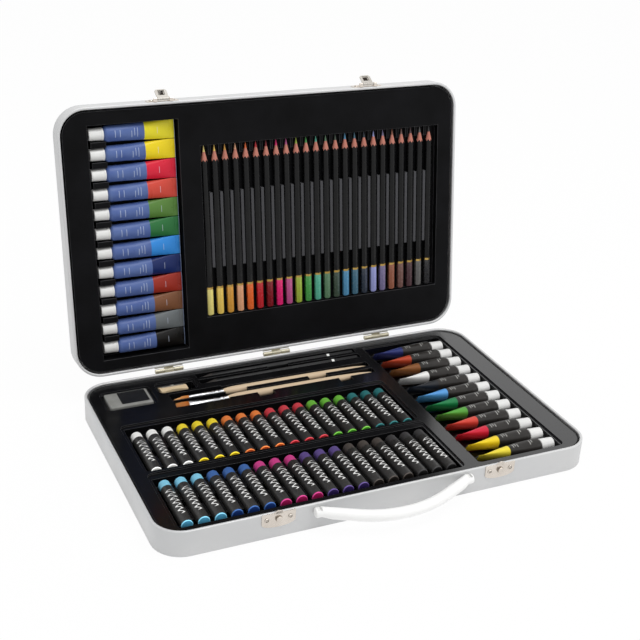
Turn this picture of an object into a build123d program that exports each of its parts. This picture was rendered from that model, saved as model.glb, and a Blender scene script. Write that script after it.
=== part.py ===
"""Metal art case, open, with its formed trays of tubes, pencils, pastels and brushes. Millimetres.

The case stands on Z = 0 with X along the hinges, -Y to the front and the origin under its middle.
Each half is modelled with its rim plane at Z = 0 and its inside below, then moved to its place.
"""
from build123d import *
import math
import os

os.makedirs("parts", exist_ok=True)

# Case halves
CORNER_R = 28.0
SHEET = 0.8
BASE_H = 26.2
LID_H = 20.5
RIM_GAP = 0.3
BEAD_W = 2.8
BEAD_H = 2.4
BEAD_CHAMFER = 0.8
BASE_EDGE = 1.4
LID_EDGE = 1.7
LID_OPEN = 98.0

# Hinges
HINGE_X = 120.5
HINGE_W = 30.0
HINGE_OUT = 3.6
HINGE_PIN_R = 1.0
RUNNING_GAP = 0.05
KNUCKLE_R = 2.1
KNUCKLE_GAP = 0.3
LID_KNUCKLE_W = 9.7
LEAF_T = 0.9
LEAF_H = 12.8
STOP_GAP = 0.3
STOP_T = 1.5
STOP_DROP = 4.0

# Latches
LATCH_X = 111.0
PLATE_W = 31.5
PLATE_T = 0.8
PLATE_SIDE = 10.0
PLATE_ARCH = 4.6
KNOB_DROP = 6.2
KNOB_R = 2.8
KNOB_H = 2.6
TONGUE_W = 8.0
TONGUE_RISE = 1.4
TONGUE_OUT = 0.4
HASP_W = 12.0
HASP_L = 12.2
HASP_T = 1.0
HASP_CORNER = 1.8
HASP_KNUCKLE_R = 1.4
HASP_PIN_R = 0.7
HASP_OUT = 2.9
HASP_DROP = 1.2
HASP_LEAN = 142.0
EAR_T = 3.2
EAR_GAP = 0.4
POCKET = 6.6
POCKET_WALL = 0.9
KNOB_GAP = 0.35

# Carrying handle
HANDLE_X = 75.0
HANDLE_Z = 20.2
HANDLE_OUT = 4.8
HANDLE_SLOPE = 23.0
HANDLE_LEG_X = 45.0
HANDLE_END_R = 4.4
HANDLE_GRIP_R = 5.1
HANDLE_END_W = 9.2
HANDLE_SLOT = 4.6
HANDLE_STEPS = 4
HANDLE_DROOP = 12.0
HANDLE_PIN_R = 1.0
HANDLE_PIN_L = 7.0
POST_W = 4.0
POST_R = 2.2
POST_FLANGE = 6.4
POST_FLANGE_T = 1.0

# Formed trays
TRAY_T = 0.8
TRAY_INSET = 4.9
TRAY_R = 23.0
TRAY_DROP = 2.2
STEP_DROP = 1.8
STEP_R = 6.0
SEAT_GAP = 0.3
SIDE_GAP = 0.5

# Pastels
PASTEL_R = 5.75
PASTEL_L = 67.0
PASTEL_PITCH = 15.1
PASTEL_COUNT = 18
PASTEL_MARGIN = 29.8
PASTEL_FRONT = 16.7
PASTEL_ROW_PITCH = 87.2
PASTEL_DROP = 1.0
PASTEL_SIDES = 8
POCKET_SIDE = 3.0
POCKET_NEAR = 2.2
POCKET_FAR = 10.4
FRONT_POCKET_NEAR = 6.0
FRONT_POCKET_FAR = 6.6
STEP_W = 3.0
STEP_FAR = 5.0
WRAP_T = 0.25
WRAP_START = 1.3
WRAP_L = 56.1
RIDGE_BASE = 5.4
RIDGE_TOP = 2.0
RIDGE_H = 6.0
RIDGE_L = 20.0
RIDGE_END = 8.0

# Paint tubes
TUBE_COUNT = 12
TUBE_R = 8.1
TUBE_L = 87.0
BASE_TUBE_DROP = 0.0
LID_TUBE_DROP = 1.5
BASE_TUBE_ROLL = -52.0
TUBE_SIDES = 10
TUBE_BODY_START = 17.5
TUBE_SHOULDER_L = 2.9
TUBE_NECK_R = 4.4
TUBE_CRIMP_W = 19.2
TUBE_CRIMP_T = 1.4
TUBE_CRIMP_L = 5.0
TUBE_CAP_L = 14.6
TUBE_CAP_R = 6.5
TUBE_CAP_TIP_R = 6.1
BASE_TUBE_MARGIN = 31.0
BASE_TUBE_Y = -1.7
BASE_TUBE_PITCH = 19.9
BASE_TUBE_ENDS = 53.7
PASTEL_TO_TUBE = 29.5
LID_TUBE_MARGIN = 31.3
LID_TUBE_Y = 0.0
LID_TUBE_PITCH = 19.7
TUBE_POCKET_END = 2.0
TUBE_POCKET_SIDE = 13.0
FINGER_L = 15.0
FINGER_W = 5.8
BASE_FINGER_DROP = 8.0

# Pencils
PENCIL_R = 3.65
PENCIL_L = 178.0
PENCIL_CONE = 16.0
PENCIL_LEAD = 6.0
PENCIL_LEAD_R = 1.35
PENCIL_LEAD_TIP = 0.25
PENCIL_DOME = 1.6
PENCIL_COUNT = 24
PENCIL_PITCH = 11.18
PENCIL_MARGIN = 30.5
PENCIL_Y = 89.0
PENCIL_DROP = 2.8
FIN_W = 3.0
FIN_START = -37.7
FIN_END = 41.0
SMALL_FIN_START = 80.0
PENCIL_POCKET_LEFT = 4.4
PENCIL_POCKET_RIGHT = 9.4

# Loose tools in the base
ERASER = (44.0, 28.5, 12.0)
ERASER_MARGIN = 41.5
ERASER_REAR = 36.8
ERASER_DROP = 1.5
ERASER_EDGE = 1.2
ERASER_GAP = 1.5
ERASER_STEP = 4.0
SHARPENER = (28.0, 14.5, 11.0)
SHARPENER_MARGIN = 90.0
SHARPENER_REAR = 29.1
SHARPENER_FREE = 8.0
SHARPENER_DROP = 1.5
SHARPENER_HOLE_R = 4.0
SHARPENER_HOLE_L = 23.0
SHARPENER_TIP_R = 1.0
SHARPENER_SLOPE = 3.0
BLADE = (23.0, 6.5, 0.5)
SCREW_R = 2.2
SCREW_H = 0.8
SKETCH_R = 3.9
SKETCH_L = 178.0
SKETCH_TO_SHARPENER = 31.0
SKETCH_DROP = 2.4
SKETCH_NOTCH = (78.0, 101.0)
REAR_PENCIL_IN = 14.6
FRONT_PENCIL_IN = 27.8
BRUSH_DROP = 6.0
BRUSH_BELLY = 4.2
BRUSH_NECK = 2.8
BRUSH_SLOT = 4.5
BRUSH_HEAD_SLOT = 6.6
BRUSH_NOTCH = 13.0
BRUSH_HEAD_GAP = 3.0
BRUSH_END_GAP = 2.0
SKETCH_END_GAP = 2.0
SHARPENER_STEP = 2.0
SHARPENER_STEP_NEAR = 1.0
ROUND_BRUSH_IN = 48.8
FLAT_BRUSH_IN = 63.3
ROUND_BRUSH_NOTCHES = ((0.0, 24.0), (92.0, 113.0))
FLAT_BRUSH_NOTCHES = ((30.0, 47.0), (121.0, 135.0))
BRUSH_HANDLE_L = 162.0
BRUSH_TO_ERASER = 20.5
FERRULE_L = 37.0
FERRULE_W = 5.8
ROUND_MOUTH = (5.2, 5.2)
FLAT_MOUTH = (9.0, 4.2)
BRISTLE_L = 16.0
BRISTLE_SLICE = 0.6
BRISTLE_R = 0.14
ROUND_BRISTLES = 152
ROUND_TUFT_R = 2.3
FLAT_TUFT = (7.6, 2.4)
FLAT_BRISTLE_COLUMNS = 25
FLAT_BRISTLE_ROWS = 6
ROUND_GATHER = 0.3
FLAT_GATHER = 0.85

# Sides of the small repeated round pieces
SIDES = 12

# The case takes its size from the sets that lie in it
CASE_W = (PASTEL_MARGIN + (PASTEL_COUNT - 1) * PASTEL_PITCH + PASTEL_TO_TUBE + TUBE_L + BASE_TUBE_MARGIN)
CASE_D = (TUBE_COUNT - 1) * BASE_TUBE_PITCH + BASE_TUBE_ENDS

# Places of the contents
PASTEL_X0 = -CASE_W / 2 + PASTEL_MARGIN
PASTEL_ROWS = (-CASE_D / 2 + PASTEL_FRONT + PASTEL_ROW_PITCH, -CASE_D / 2 + PASTEL_FRONT)
BASE_TUBE_X = CASE_W / 2 - BASE_TUBE_MARGIN
LID_TUBE_X = -CASE_W / 2 + LID_TUBE_MARGIN
PENCIL_X0 = CASE_W / 2 - PENCIL_MARGIN - (PENCIL_COUNT - 1) * PENCIL_PITCH
ERASER_X = -CASE_W / 2 + ERASER_MARGIN
ERASER_Y = CASE_D / 2 - ERASER_REAR
SHARPENER_X = -CASE_W / 2 + SHARPENER_MARGIN
SHARPENER_Y = CASE_D / 2 - SHARPENER_REAR
SKETCH_X = SHARPENER_X + SKETCH_TO_SHARPENER + SKETCH_L
REAR_PENCIL_Y = CASE_D / 2 - REAR_PENCIL_IN
FRONT_PENCIL_Y = CASE_D / 2 - FRONT_PENCIL_IN
BRUSH_FERRULE = ERASER_X + ERASER[0] / 2 + BRUSH_TO_ERASER + BRISTLE_L + FERRULE_L
BRUSH_END = BRUSH_FERRULE + BRUSH_HANDLE_L
ROUND_BRUSH_Y = CASE_D / 2 - ROUND_BRUSH_IN
FLAT_BRUSH_Y = CASE_D / 2 - FLAT_BRUSH_IN

HINGE_Y = CASE_D / 2 + HINGE_OUT
HINGE_Z = BASE_H + RIM_GAP / 2
TRAY_W = CASE_W - 2 * TRAY_INSET
TRAY_D = CASE_D - 2 * TRAY_INSET

in_base = Pos(0, 0, BASE_H)
in_lid = Pos(0, HINGE_Y, HINGE_Z) * Rot(X=180 - LID_OPEN) * Pos(0, HINGE_Y, -RIM_GAP / 2)
turned = Rot(Z=180)


def rounded_block(width, depth, radius, top, height):
    """A block with rounded upright corners, hanging down from its top."""
    return extrude(Pos(0, 0, top - height) * RectangleRounded(width, depth, radius), height)


def block(x_range, y_range, z_range):
    """A plain block between three pairs of limits."""
    size = [high - low for low, high in (x_range, y_range, z_range)]
    middle = [(high + low) / 2 for low, high in (x_range, y_range, z_range)]
    return Pos(*middle) * Box(*size)


def shell_edge(shape, plane_z):
    """The outline edges of a shape that lie in one level plane."""
    return [e for e in shape.edges() if abs(e.bounding_box().min.Z - plane_z) < 1e-6
            and abs(e.bounding_box().max.Z - plane_z) < 1e-6]


def case_half(height, edge):
    """One pressed half: floor, walls and a rim bead rolled inwards."""
    body = rounded_block(CASE_W, CASE_D, CORNER_R, 0, height)
    body = chamfer(shell_edge(body, -height), edge)
    inner_h = height - SHEET
    inside = rounded_block(CASE_W - 2 * SHEET, CASE_D - 2 * SHEET, CORNER_R - SHEET, 0, inner_h)
    inside = chamfer(shell_edge(inside, -inner_h), edge * 0.7)
    bead = rounded_block(CASE_W - SHEET, CASE_D - SHEET, CORNER_R - SHEET / 2, 0, BEAD_H)
    bead -= rounded_block(CASE_W - 2 * BEAD_W, CASE_D - 2 * BEAD_W, CORNER_R - BEAD_W, 0, BEAD_H)
    half = body - inside + bead
    return chamfer(shell_edge(half, 0), BEAD_CHAMFER)


def handle_hole(x):
    """The hole through the front wall for one handle post."""
    wall_y = -CASE_D / 2
    return block((x - POST_W / 2, x + POST_W / 2), (wall_y - SHEET, wall_y + 2 * SHEET),
                 (HANDLE_Z - BASE_H - POST_R, HANDLE_Z - BASE_H + POST_R))


def base_shell():
    half = case_half(BASE_H, BASE_EDGE)
    for x in (-HANDLE_X, HANDLE_X):
        half -= handle_hole(x)
    return half


def bore(pin_r, length):
    """A many-sided hole along X that just clears a round pin."""
    radius = (pin_r + RUNNING_GAP) / math.cos(math.pi / SIDES)
    return bar([(-length / 2, radius), (length / 2, radius)])


def hinge_leaf(spans, stop):
    """Leaves with curled knuckles for the three hinges, on the wall at +Y."""
    wall = CASE_D / 2
    web_top = RIM_GAP / 2 - KNUCKLE_R + LEAF_T
    leaves = []
    for x in (-HINGE_X, 0, HINGE_X):
        leaf = block((x - HINGE_W / 2, x + HINGE_W / 2), (wall, wall + LEAF_T), (-LEAF_H, web_top))
        for low, high in spans:
            knuckle = Pos(0, HINGE_Y, RIM_GAP / 2) * bar([(x + low, KNUCKLE_R), (x + high, KNUCKLE_R)])
            web = block((x + low, x + high), (wall, HINGE_Y), (web_top - LEAF_T, web_top))
            leaf += knuckle + web
            if stop:
                leaf += stop_tab(x, low, high)
        leaves.append(leaf - Pos(x, HINGE_Y, RIM_GAP / 2) * bore(HINGE_PIN_R, HINGE_W))
    return leaves


def stop_tab(x, low, high):
    """The tucked end of a lid knuckle, which meets the base leaf when the lid is fully open."""
    face = CASE_D / 2 + LEAF_T + STOP_GAP
    tab = block((-x - high + 1, -x - low - 1), (face, face + STOP_T),
                (HINGE_Z - STOP_DROP, HINGE_Z - HINGE_PIN_R - RUNNING_GAP - STOP_GAP))
    return turned * in_lid.inverse() * tab


def lid_spans():
    return [(-LID_KNUCKLE_W / 2, LID_KNUCKLE_W / 2)]


def base_spans():
    inner = LID_KNUCKLE_W / 2 + KNUCKLE_GAP
    return [(-HINGE_W / 2, -inner), (inner, HINGE_W / 2)]


def hinge_pins():
    return [Pos(x, HINGE_Y, RIM_GAP / 2) * Rot(Y=90) * Cylinder(HINGE_PIN_R, HINGE_W)
            for x in (-HINGE_X, 0, HINGE_X)]


def shield(top):
    """The outline of a latch plate on the wall at -Y, flat at the rim and arched below."""
    half = PLATE_W / 2
    arch = [(-half * math.cos(a), -PLATE_SIDE - PLATE_ARCH * math.sin(a))
            for a in (math.pi * step / SIDES for step in range(SIDES + 1))]
    outline = Polygon((-half, top), *arch, (half, top), align=None)
    return extrude(Plane((0, -CASE_D / 2, 0), x_dir=(1, 0, 0), z_dir=(0, -1, 0)) * outline, PLATE_T)


def outward(x, z, radius, start, length):
    """A boss standing out of the front wall from a given distance, drawn in at its end."""
    boss = bar([(0, radius), (length * 0.6, radius), (length, radius * 0.55)])
    return Pos(x, -CASE_D / 2 - start, z) * Rot(Z=-90) * boss


def keeper_plates():
    """Plates on the base with the knob that the hasp presses over."""
    face = -CASE_D / 2
    plates = []
    for x in (-LATCH_X, LATCH_X):
        knob = outward(0, -KNOB_DROP, KNOB_R, PLATE_T, KNOB_H)
        tongue = block((-TONGUE_W / 2, TONGUE_W / 2), (face - TONGUE_OUT - PLATE_T, face - TONGUE_OUT),
                       (-HASP_DROP, TONGUE_RISE))
        plates.append(Pos(x, 0, 0) * (shield(0) + knob + tongue))
    return plates


def on_hasp_axis(x, radius, length):
    return Pos(x, -CASE_D / 2 - HASP_OUT, -HASP_DROP) * Rot(Y=90) * Cylinder(radius, length)


def latch_bore(length):
    return Pos(0, -CASE_D / 2 - HASP_OUT, -HASP_DROP) * bore(HASP_PIN_R, length)


def latch_plates():
    """Plates on the lid with two ears that hold the hasp pin."""
    face = -CASE_D / 2
    ear_in = HASP_W / 2 + EAR_GAP
    plates = []
    for x in (-LATCH_X, LATCH_X):
        plate = shield(-HASP_DROP)
        for side in (-1, 1):
            ear_x = sorted((side * ear_in, side * (ear_in + EAR_T)))
            ear = block(ear_x, (face - HASP_OUT - HASP_KNUCKLE_R, face),
                        (-HASP_DROP - HASP_KNUCKLE_R, -HASP_DROP + HASP_KNUCKLE_R))
            plate += chamfer(ear.edges().filter_by(Axis.X).group_by(Axis.Y)[0], HASP_KNUCKLE_R * 0.5)
        notch = block((-ear_in, ear_in), (face - 2 * HASP_OUT, face),
                      (-HASP_DROP - HASP_KNUCKLE_R - EAR_GAP, 2 * HASP_DROP))
        plates.append(Pos(x, 0, 0) * (plate - notch - latch_bore(PLATE_W)))
    return plates


def latch_pins():
    length = HASP_W + 2 * EAR_GAP + 2 * EAR_T
    return [on_hasp_axis(x, HASP_PIN_R, length) for x in (-LATCH_X, LATCH_X)]


def hasp(x):
    """A hasp in the latched pose, swung back to where it stands when the case is open."""
    axis_y = -CASE_D / 2 - HASP_OUT
    sheet = block((-HASP_W / 2, HASP_W / 2), (axis_y - HASP_T / 2, axis_y + HASP_T / 2),
                  (-HASP_DROP, HASP_L - HASP_DROP))
    sheet = chamfer(sheet.edges().filter_by(Axis.Y).group_by(Axis.Z)[-1], HASP_CORNER)
    pocket_z = RIM_GAP + KNOB_DROP
    floor_y = -CASE_D / 2 - PLATE_T - KNOB_H - KNOB_GAP
    half = POCKET / 2
    wall = half + POCKET_WALL
    bump = block((-wall, wall), (floor_y - POCKET_WALL, axis_y),
                 (pocket_z - wall, pocket_z + wall))
    bump = chamfer(bump.edges().group_by(Axis.Y)[0], POCKET_WALL / 2)
    hollow = block((-half, half), (floor_y, axis_y + HASP_T), (pocket_z - half, pocket_z + half))
    knuckle = Pos(0, axis_y, -HASP_DROP) * bar([(-HASP_W / 2, HASP_KNUCKLE_R), (HASP_W / 2, HASP_KNUCKLE_R)])
    piece = knuckle + sheet + bump
    piece -= hollow
    piece -= latch_bore(HASP_W)
    pivot = Pos(x, axis_y, -HASP_DROP)
    return pivot * Rot(X=HASP_LEAN) * pivot.inverse() * Pos(x, 0, 0) * piece


def handle_ring(place, angle, radius):
    """Points of a round outline across the handle's path, turned with it."""
    turn = 2 * math.pi / SIDES
    ring = []
    for i in range(SIDES):
        across = radius * math.cos((i + 0.5) * turn)
        ring.append((place[0] - across * math.sin(angle), place[1] + across * math.cos(angle),
                     radius * math.sin((i + 0.5) * turn)))
    return ring


def handle():
    """The bow handle with a forked end at each post."""
    slope = math.radians(HANDLE_SLOPE)
    rise = (HANDLE_X - HANDLE_LEG_X) * math.tan(slope)
    bend_r = HANDLE_LEG_X / math.sin(slope)
    rings = [handle_ring((-HANDLE_X - HANDLE_END_W / 2, 0), 0, HANDLE_END_R),
             handle_ring((-HANDLE_X + HANDLE_SLOT / 2, 0), -slope / 2, HANDLE_END_R)]
    for step in range(-HANDLE_STEPS, HANDLE_STEPS + 1):
        angle = slope * step / HANDLE_STEPS
        sag = rise + bend_r * (math.cos(angle) - math.cos(slope))
        rings.append(handle_ring((bend_r * math.sin(angle), -sag), angle, HANDLE_GRIP_R))
    rings.append(handle_ring((HANDLE_X - HANDLE_SLOT / 2, 0), slope / 2, HANDLE_END_R))
    rings.append(handle_ring((HANDLE_X + HANDLE_END_W / 2, 0), 0, HANDLE_END_R))
    bow = skin(rings)
    for side in (-1, 1):
        x = side * HANDLE_X
        bow -= block((x - HANDLE_SLOT / 2, x + HANDLE_SLOT / 2), (-POST_R - SEAT_GAP, HANDLE_GRIP_R),
                     (-HANDLE_GRIP_R, HANDLE_GRIP_R))
        bow -= Pos(x, 0, 0) * bore(HANDLE_PIN_R, HANDLE_PIN_L + SEAT_GAP)
    return Pos(0, -CASE_D / 2 - HANDLE_OUT, HANDLE_Z) * Rot(X=HANDLE_DROOP) * bow


def handle_posts():
    """Eyes that pass through the front wall, flanged inside it."""
    wall = -CASE_D / 2
    posts = []
    for x in (-HANDLE_X, HANDLE_X):
        eye = Pos(x, wall - HANDLE_OUT, HANDLE_Z) * bar([(-POST_W / 2, POST_R), (POST_W / 2, POST_R)])
        stem = block((x - POST_W / 2, x + POST_W / 2), (wall - HANDLE_OUT, wall + SHEET),
                     (HANDLE_Z - POST_R, HANDLE_Z + POST_R))
        flange = block((x - POST_FLANGE / 2, x + POST_FLANGE / 2), (wall + SHEET, wall + SHEET + POST_FLANGE_T),
                       (HANDLE_Z - POST_FLANGE / 2, HANDLE_Z + POST_FLANGE / 2))
        pin_hole = Pos(x, wall - HANDLE_OUT, HANDLE_Z) * bore(HANDLE_PIN_R, POST_W)
        posts.append(eye + stem + flange - pin_hole)
    return posts


def handle_pins():
    return [Pos(x, -CASE_D / 2 - HANDLE_OUT, HANDLE_Z) * Rot(Y=90) * Cylinder(HANDLE_PIN_R, HANDLE_PIN_L)
            for x in (-HANDLE_X, HANDLE_X)]


def formed_tray(height, recesses, ribs):
    """A formed tray skin: a skirted face with recesses sunk into it and ribs standing in them.

    Each recess is its X limits, Y limits, floor level and corner radius.
    """
    outline = rounded_block(TRAY_W, TRAY_D, TRAY_R, -TRAY_DROP, height - TRAY_DROP)
    tray = outline - rounded_block(TRAY_W - 2 * TRAY_T, TRAY_D - 2 * TRAY_T, TRAY_R - TRAY_T,
                                   -TRAY_DROP - TRAY_T, height - TRAY_DROP)
    cups = []
    hollows = []
    for x_range, y_range, floor, radius in recesses:
        cup = block((x_range[0] - TRAY_T, x_range[1] + TRAY_T),
                    (y_range[0] - TRAY_T, y_range[1] + TRAY_T), (floor - TRAY_T, -TRAY_DROP))
        cups.append(cup & outline if radius else cup)
        hollow = block(x_range, y_range, (floor, 0))
        if radius:
            hollow = fillet(hollow.edges().filter_by(Axis.Z), radius)
        hollows.append(hollow)
    return tray + cups - hollows + ribs


def pastel_x(index):
    return PASTEL_X0 + index * PASTEL_PITCH


def pastel_floor():
    return -PASTEL_DROP - 2 * PASTEL_R - SEAT_GAP


def pastel_ridges(row_y):
    """Low ridges between the pastels of a row, in two stretches."""
    floor = pastel_floor()
    profile = Polygon((-RIDGE_BASE / 2, -TRAY_T / 2), (RIDGE_BASE / 2, -TRAY_T / 2),
                      (RIDGE_TOP / 2, RIDGE_H), (-RIDGE_TOP / 2, RIDGE_H), align=None)
    ridges = []
    for index in range(PASTEL_COUNT - 1):
        x = pastel_x(index) + PASTEL_PITCH / 2
        for start in (row_y + RIDGE_END, row_y + PASTEL_L - RIDGE_END - RIDGE_L):
            front = Plane((x, start + RIDGE_L, floor), x_dir=(1, 0, 0), z_dir=(0, -1, 0))
            ridges.append(extrude(front * profile, RIDGE_L))
    return ridges


def tube_floor(drop):
    return -drop - 2 * TUBE_R - SEAT_GAP


def pocket(middle_x, middle_y, size, gap, floor, radius=0):
    """Limits of a pocket round a piece, with a gap to each side."""
    return ((middle_x - size[0] / 2 - gap, middle_x + size[0] / 2 + gap),
            (middle_y - size[1] / 2 - gap, middle_y + size[1] / 2 + gap), floor, radius)


def pastel_pockets(step):
    """The two pastel pockets, each inside a shallow step."""
    low = pastel_x(0) - PASTEL_R - POCKET_SIDE
    high = pastel_x(PASTEL_COUNT - 1) + PASTEL_R + POCKET_SIDE
    back_y, front_y = PASTEL_ROWS
    back = (back_y - POCKET_NEAR, back_y + PASTEL_L + POCKET_FAR)
    front = (front_y - FRONT_POCKET_NEAR, front_y + PASTEL_L + FRONT_POCKET_FAR)
    stepped = (low - STEP_W, high + STEP_W)
    return [
        (stepped, (back[0], back[1] + STEP_FAR), step, STEP_R),
        ((low, high), back, pastel_floor(), 0),
        (stepped, (front[0] - SIDE_GAP, front[1] + STEP_FAR + STEP_W), step, STEP_R),
        ((low, high), front, pastel_floor(), 0)]


def tool_pockets(step):
    """Pockets of the eraser, the sharpener and the two sketching pencils."""
    eraser_floor = -ERASER_DROP - ERASER[2] - SEAT_GAP
    sharpener_floor = -SHARPENER_DROP - SHARPENER[2] - SEAT_GAP
    sketch_floor = -SKETCH_DROP - 2 * SKETCH_R - SEAT_GAP
    sketch_x = (SKETCH_X - SKETCH_L - SKETCH_END_GAP, SKETCH_X + SKETCH_END_GAP)
    half = SKETCH_R + SIDE_GAP
    sharp_x, sharp_y, _, _ = pocket(SHARPENER_X, SHARPENER_Y, SHARPENER, 1, 0)
    return [
        pocket(ERASER_X, ERASER_Y, ERASER, ERASER_STEP, step, STEP_R),
        pocket(ERASER_X, ERASER_Y, ERASER, ERASER_GAP, eraser_floor),
        ((sharp_x[0] - SHARPENER_STEP, sharp_x[1] + SHARPENER_FREE + SHARPENER_STEP),
         (sharp_y[0] - SHARPENER_STEP_NEAR, sharp_y[1] + STEP_FAR), step, STEP_R),
        ((sharp_x[0], sharp_x[1] + SHARPENER_FREE), sharp_y, sharpener_floor, 0),
        (sketch_x, (REAR_PENCIL_Y - half, REAR_PENCIL_Y + half), sketch_floor, 0),
        (sketch_x, (FRONT_PENCIL_Y - half, FRONT_PENCIL_Y + half), sketch_floor, 0),
        ((sketch_x[0] + SKETCH_NOTCH[0], sketch_x[0] + SKETCH_NOTCH[1]), (FRONT_PENCIL_Y - half, REAR_PENCIL_Y + half),
         sketch_floor, 0)]


def brush_pockets():
    """For each brush a slot for the handle, a wider one for the head, and notches for the fingers."""
    floor = -BRUSH_DROP - BRUSH_BELLY - SEAT_GAP
    head_x = (BRUSH_FERRULE - FERRULE_L - BRISTLE_L - BRUSH_HEAD_GAP, BRUSH_FERRULE)
    pockets = []
    for y, notches in ((ROUND_BRUSH_Y, ROUND_BRUSH_NOTCHES), (FLAT_BRUSH_Y, FLAT_BRUSH_NOTCHES)):
        pockets.append(((head_x[1], BRUSH_END + BRUSH_END_GAP), (y - BRUSH_SLOT, y + BRUSH_SLOT), floor, 0))
        pockets.append((head_x, (y - BRUSH_HEAD_SLOT, y + BRUSH_HEAD_SLOT), floor, 0))
        for start, end in notches:
            pockets.append(((BRUSH_FERRULE + start, BRUSH_FERRULE + end), (y - BRUSH_NOTCH, y), floor, 0))
    return pockets


def base_tray():
    step = -TRAY_DROP - STEP_DROP
    floor = tube_floor(BASE_TUBE_DROP)
    column = (TUBE_COUNT - 1) / 2 * BASE_TUBE_PITCH + TUBE_POCKET_SIDE
    tube_x = (BASE_TUBE_X - TUBE_L - TUBE_POCKET_END, BASE_TUBE_X + TUBE_POCKET_END)
    tube_y = (BASE_TUBE_Y - column, BASE_TUBE_Y + column)
    tube_step = ((tube_x[0] - STEP_W, tube_x[1] + STEP_W), (tube_y[0] - 1, tube_y[1] + STEP_W), step, STEP_R)
    recesses = pastel_pockets(step) + [tube_step, (tube_x, tube_y, floor, 0)] + tool_pockets(step) + brush_pockets()
    ribs = tube_fingers(BASE_TUBE_X - FINGER_L - 1, BASE_TUBE_Y, BASE_TUBE_PITCH, floor, -BASE_FINGER_DROP)
    for row_y in PASTEL_ROWS:
        ribs += pastel_ridges(row_y)
    return formed_tray(BASE_H - SHEET, recesses, ribs)


def tube_fingers(x, middle_y, pitch, floor, top):
    """Blocks that stand between the tube caps."""
    fingers = []
    for index in range(TUBE_COUNT - 1):
        y = middle_y + (index - (TUBE_COUNT - 2) / 2) * pitch
        fingers.append(block((x, x + FINGER_L), (y - FINGER_W / 2, y + FINGER_W / 2),
                             (floor - TRAY_T / 2, top)))
    return fingers


def pencil_x(index):
    return PENCIL_X0 + index * PENCIL_PITCH


def lid_tray():
    step = -TRAY_DROP - STEP_DROP
    floor = tube_floor(LID_TUBE_DROP)
    pencil_floor = -PENCIL_DROP - 2 * PENCIL_R * math.cos(math.pi / 6) - SEAT_GAP
    pencil_low = pencil_x(0) - PENCIL_POCKET_LEFT
    pencil_high = pencil_x(PENCIL_COUNT - 1) + PENCIL_POCKET_RIGHT
    column = (TUBE_COUNT - 1) / 2 * LID_TUBE_PITCH + LID_TUBE_PITCH / 2
    recesses = [
        ((LID_TUBE_X - TUBE_POCKET_END, LID_TUBE_X + TUBE_L + TUBE_POCKET_END),
         (LID_TUBE_Y - column - TUBE_POCKET_END, LID_TUBE_Y + column), floor, 0),
        ((pencil_low, pencil_high), (-PENCIL_Y - 1, PENCIL_Y + 1), pencil_floor, 0),
    ]
    ribs = tube_fingers(LID_TUBE_X + 1, LID_TUBE_Y, LID_TUBE_PITCH, floor, step)
    for index in range(PENCIL_COUNT - 1):
        x = pencil_x(index) + PENCIL_PITCH / 2
        for y_range in ((FIN_START, FIN_END), (SMALL_FIN_START, PENCIL_Y + 1)):
            ribs.append(block((x - FIN_W / 2, x + FIN_W / 2), y_range, (pencil_floor - TRAY_T / 2, step)))
    return formed_tray(LID_H - SHEET, recesses, ribs)


def skin(outlines):
    """A closed solid with flat facets through like outlines, from end to end."""
    faces = [Face(Wire.make_polygon(outlines[0])), Face(Wire.make_polygon(outlines[-1]))]
    for near, far in zip(outlines, outlines[1:]):
        for i, corner in enumerate(near):
            j = (i + 1) % len(near)
            faces.append(Face(Wire.make_polygon([corner, near[j], far[j]])))
            faces.append(Face(Wire.make_polygon([corner, far[j], far[i]])))
    return Solid(Shell(faces))


def oval(x, width, thickness, sides=SIDES):
    """Points of a many-sided oval outline across X."""
    turn = 2 * math.pi / sides
    return [(x, width / 2 * math.cos((i + 0.5) * turn), thickness / 2 * math.sin((i + 0.5) * turn))
            for i in range(sides)]


def bar(stations, sides=SIDES):
    """A bar along X through round stations, each a place and a radius."""
    return skin([oval(x, 2 * radius, 2 * radius, sides) for x, radius in stations])


def pastels(row_y):
    """Pastel sticks of one row."""
    stick = Rot(Z=90) * bar([(0, PASTEL_R - WRAP_T), (PASTEL_L, PASTEL_R - WRAP_T)], PASTEL_SIDES)
    return [Pos(pastel_x(i), row_y, -PASTEL_DROP - PASTEL_R) * stick for i in range(PASTEL_COUNT)]


def pastel_wraps(row_y):
    """Paper wraps round the pastels of one row."""
    wrap = bar([(WRAP_START, PASTEL_R), (WRAP_START + WRAP_L, PASTEL_R)], PASTEL_SIDES)
    wrap -= bar([(0, PASTEL_R - WRAP_T), (PASTEL_L, PASTEL_R - WRAP_T)], PASTEL_SIDES)
    wrap = Rot(Z=90) * wrap
    return [Pos(pastel_x(i), row_y, -PASTEL_DROP - PASTEL_R) * wrap for i in range(PASTEL_COUNT)]


def paint_tube():
    """One tube with its cap at X = 0 and its crimp at -X: the body and the cap."""
    shoulder = -TUBE_BODY_START
    crimp = -TUBE_L + TUBE_CRIMP_L
    body = skin([oval(crimp, TUBE_CRIMP_W, TUBE_CRIMP_T * 0.9, TUBE_SIDES),
                 oval(shoulder, 2 * TUBE_R, 2 * TUBE_R, TUBE_SIDES),
                 oval(shoulder + TUBE_SHOULDER_L, 2 * TUBE_NECK_R, 2 * TUBE_NECK_R, TUBE_SIDES)])
    fold = block((-TUBE_L, crimp), (-TUBE_CRIMP_W / 2, TUBE_CRIMP_W / 2), (-TUBE_CRIMP_T / 2, TUBE_CRIMP_T / 2))
    cap = bar([(-TUBE_CAP_L, TUBE_CAP_R), (0, TUBE_CAP_TIP_R)], TUBE_SIDES)
    return body + fold, cap


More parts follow.
